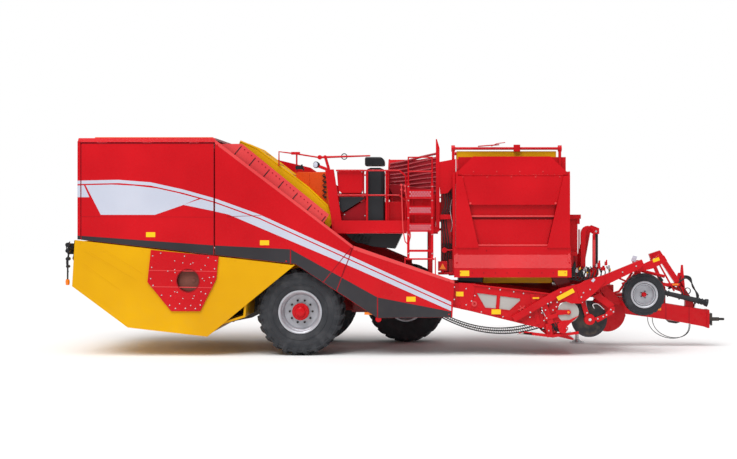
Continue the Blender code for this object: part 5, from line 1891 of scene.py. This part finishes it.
    def _neck(self) -> None:
        """Joint plate, head, struts and bolts of the long neck."""
        neck = Form()
        neck.plate(
            [
                (4.20, 1.60), (4.62, 1.80), (4.70, 1.88), (4.80, 1.86), (4.86, 1.76), (4.60, 1.62),
                (4.36, 1.56),
            ],
            -1.45,
            -1.40,
        )
        neck.bar((4.33, -1.56, 1.69), (4.33, -1.38, 1.69), 0.055, 16)
        neck.tube([(3.30, -0.90, 1.34), (3.90, -0.89, 1.42), (4.28, -0.87, 1.62)], 0.03)
        neck.tube([(4.10, -0.88, 1.30), (4.45, -0.87, 1.42), (4.72, -0.86, 1.20)], 0.025)
        neck.tube(
            [(3.66, -0.90, 1.20), (3.98, -0.89, 1.44), (4.20, -0.88, 1.34), (4.50, -0.87, 1.66)], 0.022
        )
        neck.tube([(3.70, -0.88, 1.05), (4.05, -0.86, 1.16), (4.30, -0.86, 1.52)], 0.022)
        neck.bar((4.44, -0.88, 1.56), (4.92, -0.84, 1.44), 0.03, 12)
        neck.plate([(3.62, 1.30), (3.74, 1.34), (4.10, 0.96), (4.02, 0.90), (3.80, 1.0)], -0.92, -0.88)
        neck.plate(
            [
                (3.14, 1.30), (3.30, 1.40), (3.62, 1.50), (3.70, 1.40), (3.52, 1.20), (3.32, 1.03),
                (3.22, 1.03),
            ],
            -1.625,
            -1.61,
        )
        neck.piece("neck_fittings", self.body, "red_enamel", bevel=0.004)
        silver = Form()
        silver.plate([(4.34, 1.64), (4.40, 1.70), (4.60, 1.68), (4.62, 1.63), (4.50, 1.60)], -0.92, -0.86)
        silver.plate([(4.22, 1.86), (4.30, 1.84), (4.26, 1.74), (4.18, 1.76)], -1.47, -1.45)
        silver.plate([(3.42, 1.40), (3.46, 1.45), (3.50, 1.42), (3.46, 1.37)], -1.629, -1.625)
        silver.bar((4.22, -0.88, 1.55), (4.60, -0.88, 1.64), 0.038, 14)
        silver.piece("neck_plates", self.body, "stripe_light", bevel=0.003)
        label = Form()
        label.plate([(2.78, 1.10), (3.08, 1.26), (3.12, 1.19), (2.82, 1.03)], -1.6275, -1.6255)
        label.plate([(4.58, 1.79), (4.70, 1.83), (4.72, 1.77), (4.60, 1.73)], -1.453, -1.451)
        for x, z, width, height, out in (
            (1.675, 0.82, 0.17, 0.09, -1.546), (1.0, 1.15, 0.14, 0.085, -1.536),
            (2.41, 1.075, 0.12, 0.03, -1.54),
        ):
            label.block((x - width / 2, out, z - height / 2), (x + width / 2, -1.52, z + height / 2))
        label.piece("neck_labels", self.body, "label_yellow")
        bolts = Form()
        bolts.studs(
            (
                (2.62, 0.98), (2.86, 1.19), (3.28, 1.18), (3.40, 1.24), (3.24, 1.10), (4.0, 1.56),
                (2.30, 0.82), (4.25, 1.67),
            ),
            -1.637, -1.61, 0.014, 6,
        )
        bolts.piece("neck_bolts", self.body, "bright_rod")
        arm = Form()
        arm.tube([(4.33, -1.02, 1.60), (4.40, -1.02, 1.30)], 0.032)
        arm.bar((4.455, -1.08, 1.123), (4.455, -0.97, 1.123), 0.05, 16)
        arm.piece("depth_arm_collars", "depth_wheel_arm", "red_enamel")

    def _shares(self) -> None:
        """Runner, levers, studs and a spring round the share."""
        bars = Form()
        bars.plate(
            [(2.20, 0.46), (2.70, 0.40), (3.20, 0.46), (3.20, 0.41), (2.72, 0.345), (2.16, 0.41)],
            -1.56,
            -1.52,
        )
        bars.plate([(2.48, 1.02), (2.58, 1.06), (2.74, 0.62), (2.64, 0.58)], -1.59, -1.565)
        bars.plate([(2.56, 0.74), (2.80, 0.80), (2.82, 0.73), (2.58, 0.66)], -1.60, -1.58)
        bars.plate([(2.58, 0.60), (2.70, 0.62), (2.72, 0.36), (2.62, 0.35)], -1.58, -1.56)
        bars.plate([(2.80, 0.60), (2.90, 0.66), (3.0, 0.50), (2.94, 0.42), (2.84, 0.44)], -1.60, -1.57)
        for x, z, radius in (
            (2.60, 0.71, 0.045), (2.64, 0.48, 0.04), (2.97, 0.52, 0.032), (2.84, 0.54, 0.03)
        ):
            bars.bar((x, -1.61, z), (x, -1.53, z), radius, 16)
        bars.block((2.10, -1.55, 0.40), (2.36, -1.44, 0.44))
        bars.piece("runner_and_levers", self.body, "red_enamel", bevel=0.004)
        studs = Form()
        studs.studs(
            (
                (2.60, 0.71), (2.64, 0.48), (2.97, 0.52), (2.78, 0.92), (2.72, 0.86), (2.58, 0.86),
                (2.68, 1.0),
            ),
            -1.622, -1.595, 0.014, 6,
        )
        studs.studs(((2.52, 0.90), (2.54, 0.52), (2.74, 0.74), (2.80, 1.0)), -1.58, -1.56, 0.014, 6)
        studs.plate([(2.80, 0.452), (3.06, 0.462), (3.06, 0.445), (2.80, 0.435)], -1.565, -1.56)
        studs.tube(smooth([(2.50, -1.56, 0.88), (2.54, -1.60, 0.82), (2.58, -1.61, 0.74)], 5), 0.009, 6)
        studs.piece("lever_studs", self.body, "bright_rod")
        dark = Form()
        coil = []
        turns, per_turn = 9, 10
        for i in range(turns * per_turn):
            turn = 2 * math.pi * i / per_turn
            coil.append(
                (
                    2.70 + i * 0.0012 + 0.022 * math.cos(turn), -1.57 + 0.022 * math.sin(turn),
                    0.60 - i * 0.0014,
                )
            )
        dark.tube(coil, 0.005, 6)
        for i in range(5):
            x = 2.72 + i * 0.045
            dark.tube(
                smooth(
                    [
                        (x, -1.55, 0.62), (x + 0.03, -1.58, 0.56), (x - 0.02, -1.57, 0.50),
                        (x + 0.02, -1.55, 0.46),
                    ],
                    5,
                ),
                0.010,
                6,
            )
        dark.piece("share_hoses", self.body, "hose_rubber")

    def _column(self) -> None:
        """The column in front of the bunker and the arched bracket beside it, with a painted highlight
        along the bracket's cylinder.
        """
        red = Form()
        arch = [(3.385, 1.60), (3.385, 2.24)]
        arch += [
            (3.46 + 0.075 * math.cos(math.radians(a)), 2.27 + 0.10 * math.sin(math.radians(a)))
            for a in range(170, 1, -28)
        ]
        outer = [(3.295, 1.58), (3.295, 2.24)]
        outer += [
            (3.43 + 0.135 * math.cos(math.radians(a)), 2.27 + 0.14 * math.sin(math.radians(a)))
            for a in range(170, 9, -20)
        ]
        red.plate([*outer, (3.565, 2.20), (3.53, 2.20), *arch[::-1]], -1.07, -1.03)
        red.bar((3.545, -1.05, 2.24), (3.545, -1.05, 1.58), 0.028, 14)
        red.block((3.10, -1.02, 1.45), (3.24, -0.94, 2.56))
        red.block((3.07, -1.06, 2.54), (3.30, -0.92, 2.62))
        red.block((3.22, -1.04, 2.44), (3.28, -0.96, 2.56))
        for x in (3.262, 3.285):
            red.bar((x, -1.0, 2.34), (x, -1.0, 1.60), 0.009, 8)
        red.block((3.08, -1.16, 1.84), (3.22, -1.04, 1.92))
        red.block((3.0, -1.20, 1.50), (3.14, -1.04, 1.86))
        red.piece("front_column", "chassis", "red_enamel", bevel=0.006)
        # Painted highlight: a lighter red bar laid along the bracket's cylinder.
        shine = Form()
        shine.bar((3.545, -1.055, 2.14), (3.545, -1.055, 1.66), 0.030, 14)
        shine.piece("arch_cylinder_highlight", "chassis", "painted_highlight_red")

    def _valves(self) -> None:
        """Crowded valve block: sections, fittings, elbows and small hoses."""
        # name, finish, and one row of small parts: x, z, width, height
        rows = (
            (
                "red",
                "red_enamel",
                (
                    (3.62, 1.66, 0.05, 0.10), (3.70, 1.60, 0.08, 0.06), (3.76, 1.70, 0.04, 0.07),
                    (3.50, 1.50, 0.07, 0.07),
                ),
            ),
            (
                "pale",
                "rim_silver",
                (
                    (3.20, 1.56, 0.05, 0.06), (3.36, 1.58, 0.06, 0.05), (3.44, 1.48, 0.04, 0.08),
                    (3.80, 1.62, 0.05, 0.05),
                ),
            ),
            (
                "dark",
                "black_enamel_and_shade",
                (
                    (3.12, 1.52, 0.12, 0.12), (3.28, 1.50, 0.10, 0.10), (3.42, 1.56, 0.06, 0.07),
                    (3.16, 1.66, 0.05, 0.08),
                ),
            ),
            (
                "brass",
                "label_yellow",
                ((3.26, 1.60, 0.03, 0.03), (3.40, 1.53, 0.03, 0.025), (3.83, 1.57, 0.03, 0.04)),
            ),
        )
        for name, finish, parts in rows:
            form = Form()
            for i, (x, z, width, height) in enumerate(parts):
                near = -1.24 + 0.02 * (i % 3)
                form.block(
                    (x - width / 2, near, z - height / 2), (x + width / 2, near + 0.12, z + height / 2)
                )
                form.bar(
                    (x, near + 0.03, z), (x + 0.01, near + 0.03, z + height), 0.35 * min(width, height), 10
                )
            form.piece(f"valves_{name}", "chassis", finish, bevel=0.003)
        hoses = Form()
        for i in range(9):
            x = 3.08 + i * 0.075
            drop = 0.03 * (i % 3)
            line = [
                (x, -1.18, 1.58), (x - 0.04, -1.26, 1.46 - drop), (x + 0.05, -1.28, 1.40),
                (x + 0.13, -1.24, 1.50 + drop),
            ]
            hoses.tube(smooth([*line, (x + 0.09, -1.14, 1.64)], 5), 0.011, 8)
        hoses.piece("valve_hoses", "chassis", "hose_rubber")
        floor = Form()
        floor.block((3.0, -1.0, 1.30), (3.42, -0.30, 1.44))
        floor.plate([(2.70, 1.46), (3.02, 1.46), (3.12, 1.30), (2.90, 1.22)], -1.15, -0.90)
        floor.piece("valve_floor", "chassis", "frame_red", bevel=0.006)


# ---------------------------------------------------------------- drawbar and jack
@dataclass
class Drawbar:
    """Hose rack, hoses, seams, shaft guard and pins of the drawbar."""

    body: str = "tow_bar"
    middle: float = 0.27

    def build(self) -> None:
        """Adds the details."""
        side = self.middle - 0.12
        seams = Form()
        for x in (5.12, 5.58):
            top = 0.856 - (x - 5.14) * 0.16
            foot = 0.53 - (x - 5.20) * 0.1937
            seams.block((x, side - 0.003, foot), (x + 0.012, side + 0.001, top))
        seams.piece("drawbar_seams", self.body, "seam_and_shadow_red")
        face = Form()
        face.block((5.94, self.middle - 0.135, 0.37), (5.988, self.middle + 0.135, 0.735))
        face.piece("drawbar_end_plate", self.body, "red_enamel", bevel=0.005)
        bolts = Form()
        for z in (0.43, 0.67):
            for y in (-0.10, 0.10):
                bolts.bar((5.988, self.middle + y, z), (6.004, self.middle + y, z), 0.018, 6)
        bolts.piece("hitch_bolts", self.body, "bright_rod")
        self._hoses()
        self._shaft()
        self._mast()

    def _hoses(self) -> None:
        """Supply hoses from the mast over the rack and down to the coupling."""
        hoses = Form()
        for i in range(6):
            y = self.middle - 0.06 + i * 0.024
            lift = 0.02 * (i % 3)
            line = [
                (5.20, y, 1.14),
                (5.36, y, 1.24 + lift),
                (5.50, y, 1.35 + lift),
                (5.60 + 0.01 * i, y, 1.32 + lift),
                (5.69, y, 1.18),
                (5.75 + 0.012 * i, y, 1.0),
                (5.72, y, 0.84),
            ]
            hoses.tube(smooth(line, 6), 0.0125)
        for i in range(4):
            y = self.middle - 0.05 + i * 0.03
            hoses.tube(
                smooth([(5.44, y, 1.40), (5.40, y, 1.22), (5.47, y, 1.05), (5.40, y, 0.93)], 6), 0.010
            )
        hoses.piece("supply_hoses", self.body, "hose_rubber")
        couplings = Form()
        for i in range(6):
            y = self.middle - 0.06 + i * 0.024
            couplings.bar((5.72, y, 0.85), (5.70, y, 0.77), 0.014, 10)
        couplings.piece("hose_couplings", self.body, "bright_rod")

    def _shaft(self) -> None:
        """Ribbed bells and rings of the drive shaft's guard."""
        start, end = Vector((5.0, self.middle - 0.12, 1.094)), Vector((5.95, self.middle - 0.12, 0.866))
        along = (end - start).normalized()
        guard = Form()
        for t in (0.06, 0.12, 0.18, 0.82, 0.88, 0.94):
            centre = start.lerp(end, t)
            guard.turned(
                [(0.044, -0.010), (0.066, -0.006), (0.066, 0.006), (0.044, 0.010)], centre, along, 28
            )
        guard.turned(
            [(0.05, -0.03), (0.072, -0.02), (0.078, 0.03), (0.05, 0.03)], start.lerp(end, 0.97), along, 28
        )
        guard.piece("shaft_guard_rings", self.body, "duct_plastic")

    def _mast(self) -> None:
        """Pins, lamp, braces and labels on the drawbar's mast."""
        mast = Form()
        mast.studs(
            ((4.91, 1.80), (5.56, 0.98), (5.06, 1.20)), self.middle - 0.085, self.middle + 0.085, 0.032, 14
        )
        mast.tube([(4.98, self.middle - 0.07, 1.68), (5.30, self.middle - 0.07, 1.10)], 0.018)
        mast.tube(
            [
                (4.45, self.middle - 0.06, 0.93), (4.86, self.middle - 0.06, 1.30),
                (5.06, self.middle - 0.06, 1.24),
            ],
            0.022,
        )
        mast.block((5.06, self.middle - 0.09, 1.20), (5.42, self.middle - 0.055, 1.26))
        mast.plate(
            [(5.40, 1.20), (5.44, 1.62), (5.48, 1.62), (5.52, 1.16)],
            self.middle - 0.05,
            self.middle - 0.025,
        )
        mast.piece("mast_fittings", self.body, "red_enamel", bevel=0.004)
        lamp = Form()
        lamp.turned(
            [(0.052, -0.02), (0.066, -0.02), (0.066, 0.02), (0.052, 0.02)],
            (5.557, self.middle - 0.10, 1.106),
            (0, -1, 0),
            28,
        )
        lamp.plate(
            [(5.14, 0.53), (5.20, 0.475), (5.34, 0.455), (5.42, 0.48)],
            self.middle - 0.06,
            self.middle + 0.06,
        )
        lamp.bar((4.95, self.middle - 0.10, 1.44), (5.06, self.middle - 0.10, 1.30), 0.03, 12)
        lamp.piece("drawbar_lamp", self.body, "black_enamel_and_shade")
        amber = Form()
        amber.block((5.26, self.middle - 0.094, 1.215), (5.38, self.middle - 0.090, 1.25))
        amber.block((4.97, self.middle - 0.126, 0.72), (5.03, self.middle - 0.12, 0.80))
        amber.piece("drawbar_reflector", self.body, "lamp_orange")


@dataclass
class ParkingJack:
    """Collars and crank of the jack, and pins of both cylinders."""

    place: Point = (3.45, 0.90)

    def build(self) -> None:
        """Adds the details."""
        x, y = self.place
        crank = Form()
        crank.turned(
            [(0.0665, -0.02), (0.085, -0.02), (0.085, 0.02), (0.0665, 0.02)], (x, y, 0.80), (0, 0, 1), 24
        )
        crank.turned(
            [(0.0665, -0.02), (0.080, -0.02), (0.080, 0.02), (0.0665, 0.02)], (x, y, 1.58), (0, 0, 1), 24
        )
        crank.tube(
            [(x, y + 0.06, 1.52), (x, y + 0.16, 1.52), (x, y + 0.16, 1.40), (x, y + 0.24, 1.40)], 0.011
        )
        crank.piece("jack_crank", "chassis", "black_enamel_and_shade")
        foot = Form()
        foot.turned(
            [(0.042, 0.03), (0.062, 0.031), (0.055, 0.075), (0.042, 0.08)], (x, y, 0.0), (0, 0, 1), 24
        )
        for i in range(4):
            angle = math.pi / 4 + i * math.pi / 2
            near = (x + 0.045 * math.cos(angle), y + 0.045 * math.sin(angle), 0.06)
            foot.bar(near, (x + 0.12 * math.cos(angle), y + 0.12 * math.sin(angle), 0.034), 0.007, 6)
        foot.piece("jack_foot_web", "jack", "bright_rod")
        pins = Form()
        pins.bar((3.61, -0.875, 2.30), (3.61, -0.735, 2.30), 0.02, 12)
        pins.bar((3.30, 0.66, 0.80), (3.30, 0.66, 0.93), 0.018, 12)
        pins.piece("cylinder_pins", "chassis", "bright_rod")


# ---------------------------------------------------------------- studio
class Studio:
    """Pale floor, white surroundings, soft lamps and the camera."""

    def build(self) -> None:
        """Makes the floor, world, lamps and camera."""
        self._floor()
        self._world()
        self._sun((-0.18, -0.50, 1.0), 2.7, 50.0)
        self._lamp("key", (-7.0, -14.0, 13.0), (-0.5, 0.0, 1.8), 380.0, 7.0)
        self._camera()
        settings = bpy.context.scene.view_settings
        settings.view_transform = "Standard"

    def _floor(self) -> None:
        """A pale floor that shows white and keeps the shadow."""
        data = bpy.data.meshes.new("floor")
        reach = 60.0
        data.from_pydata(
            [(-reach, -reach, 0), (reach, -reach, 0), (reach, reach, 0), (-reach, reach, 0)],
            [],
            [(0, 1, 2, 3)],
        )
        floor = bpy.data.objects.new("floor", data)
        bpy.context.scene.collection.objects.link(floor)
        recipe = Recipe("studio_floor")
        tint = recipe.mix((0.86, 0.86, 0.86), (0.90, 0.90, 0.90), recipe.noise(0.4, 2.0))
        data.materials.append(recipe.finish(Base_Color=tint, Roughness=0.85))

    def _world(self) -> None:
        """White all round, a little dimmer as a light than as a background."""
        world = bpy.data.worlds.new("studio")
        world.use_nodes = True
        tree = world.node_tree
        back = tree.nodes["Background"]
        back.inputs["Color"].default_value = (1.0, 1.0, 1.0, 1.0)
        path = tree.nodes.new("ShaderNodeLightPath")
        seen = tree.nodes.new("ShaderNodeMath")
        seen.operation = "MULTIPLY_ADD"
        tree.links.new(path.outputs["Is Camera Ray"], seen.inputs[0])
        seen.inputs[1].default_value = 0.55
        seen.inputs[2].default_value = 0.45
        tree.links.new(seen.outputs[0], back.inputs["Strength"])
        bpy.context.scene.world = world

    def _lamp(self, name: str, place: Point, target: Point, power: float, size: float) -> None:
        """A square soft lamp that faces a target.

        Args:
            name: the lamp's name.
            place: where it hangs.
            target: what it faces.
            power: watts.
            size: side of its square.
        """
        data = bpy.data.lights.new(name, "AREA")
        data.energy = power
        data.size = size
        lamp = bpy.data.objects.new(name, data)
        lamp.location = place
        lamp.rotation_euler = (Vector(target) - Vector(place)).to_track_quat("-Z", "Y").to_euler()
        bpy.context.scene.collection.objects.link(lamp)

    def _sun(self, toward: Point, power: float, spread: float) -> None:
        """A wide soft sun, as seen from the machine in one direction, which lights the floor evenly.

        Args:
            toward: direction from the machine to the sun.
            power: watts per square metre.
            spread: angle across it, in degrees.
        """
        data = bpy.data.lights.new("sun", "SUN")
        data.energy = power
        data.angle = math.radians(spread)
        lamp = bpy.data.objects.new("sun", data)
        lamp.rotation_euler = Vector(toward).to_track_quat("Z", "Y").to_euler()
        bpy.context.scene.collection.objects.link(lamp)

    def _camera(self) -> None:
        """A long lens, square to the right-hand side."""
        data = bpy.data.cameras.new("camera")
        data.lens = 62.6
        data.sensor_width = 36.0
        data.shift_x = -0.0834
        data.shift_y = -0.0210
        data.clip_end = 200.0
        camera = bpy.data.objects.new("camera", data)
        camera.location = (0.45, -25.25, 2.63)
        camera.rotation_euler = (math.pi / 2, 0.0, 0.0)
        bpy.context.scene.collection.objects.link(camera)
        bpy.context.scene.camera = camera


# ---------------------------------------------------------------- leads
@dataclass
class HangingLead:
    """A thin lead that hangs in a loop under the drawbar."""

    side: str
    start: float
    end: float
    low: float
    shift: float
    diameter: float = 0.014
    points: int = 28

    def route(self) -> list[Vector]:
        """The lead's line, from its rear end to its front end.

        Returns:
            Points along the lead's centre line.
        """
        top = [self._underside(x) - 0.010 for x in (self.start, self.end)]
        line = []
        for i in range(self.points + 1):
            t = i / self.points
            ease = (0.5 - 0.5 * math.cos(math.pi * t)) ** 0.9
            x = self.start + (self.end - self.start) * ease
            depth = (top[0] + top[1]) / 2 - self.low
            z = top[0] + t * (top[1] - top[0]) - depth * math.sin(math.pi * t) ** 0.8
            line.append(Vector((x, 0.27 + self.shift, z)))
        return line

    def _underside(self, x: float) -> float:
        """Height of the drawbar's underside at x."""
        rear, front = ((4.10, 0.68), (5.20, 0.53)) if x <= 5.20 else ((5.20, 0.53), (5.99, 0.377))
        return rear[1] + (x - rear[0]) / (front[0] - rear[0]) * (front[1] - rear[1])

    def build(self) -> None:
        line = self.route()
        form = Form()
        form.tube(line, self.diameter / 2, 10)
        lead = form.piece(f"lead_{self.side}", "tow_bar", "hose_rubber")
        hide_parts(f"cable_{self.side}")


def main() -> None:
    """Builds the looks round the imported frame."""
    logging.basicConfig(level=logging.INFO, format="%(name)s: %(message)s")
    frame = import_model()
    palette()
    Studio().build()
    for lead in (
        HangingLead("right", 4.774, 5.600, 0.165, -0.05), HangingLead("left", 4.884, 5.640, 0.165, 0.05)
    ):
        lead.build()
    dress_frame(frame)
    SideGraphics().build()
    build_wheels()
    build_webs()
    for assembly in (
        RearSeparator(),
        RisingChannel(),
        PickingPlatform(),
        Bunker(),
        DiggingFront(),
        Drawbar(),
        ParkingJack(),
    ):
        assembly.build()


if __name__ == "__main__":
    main()
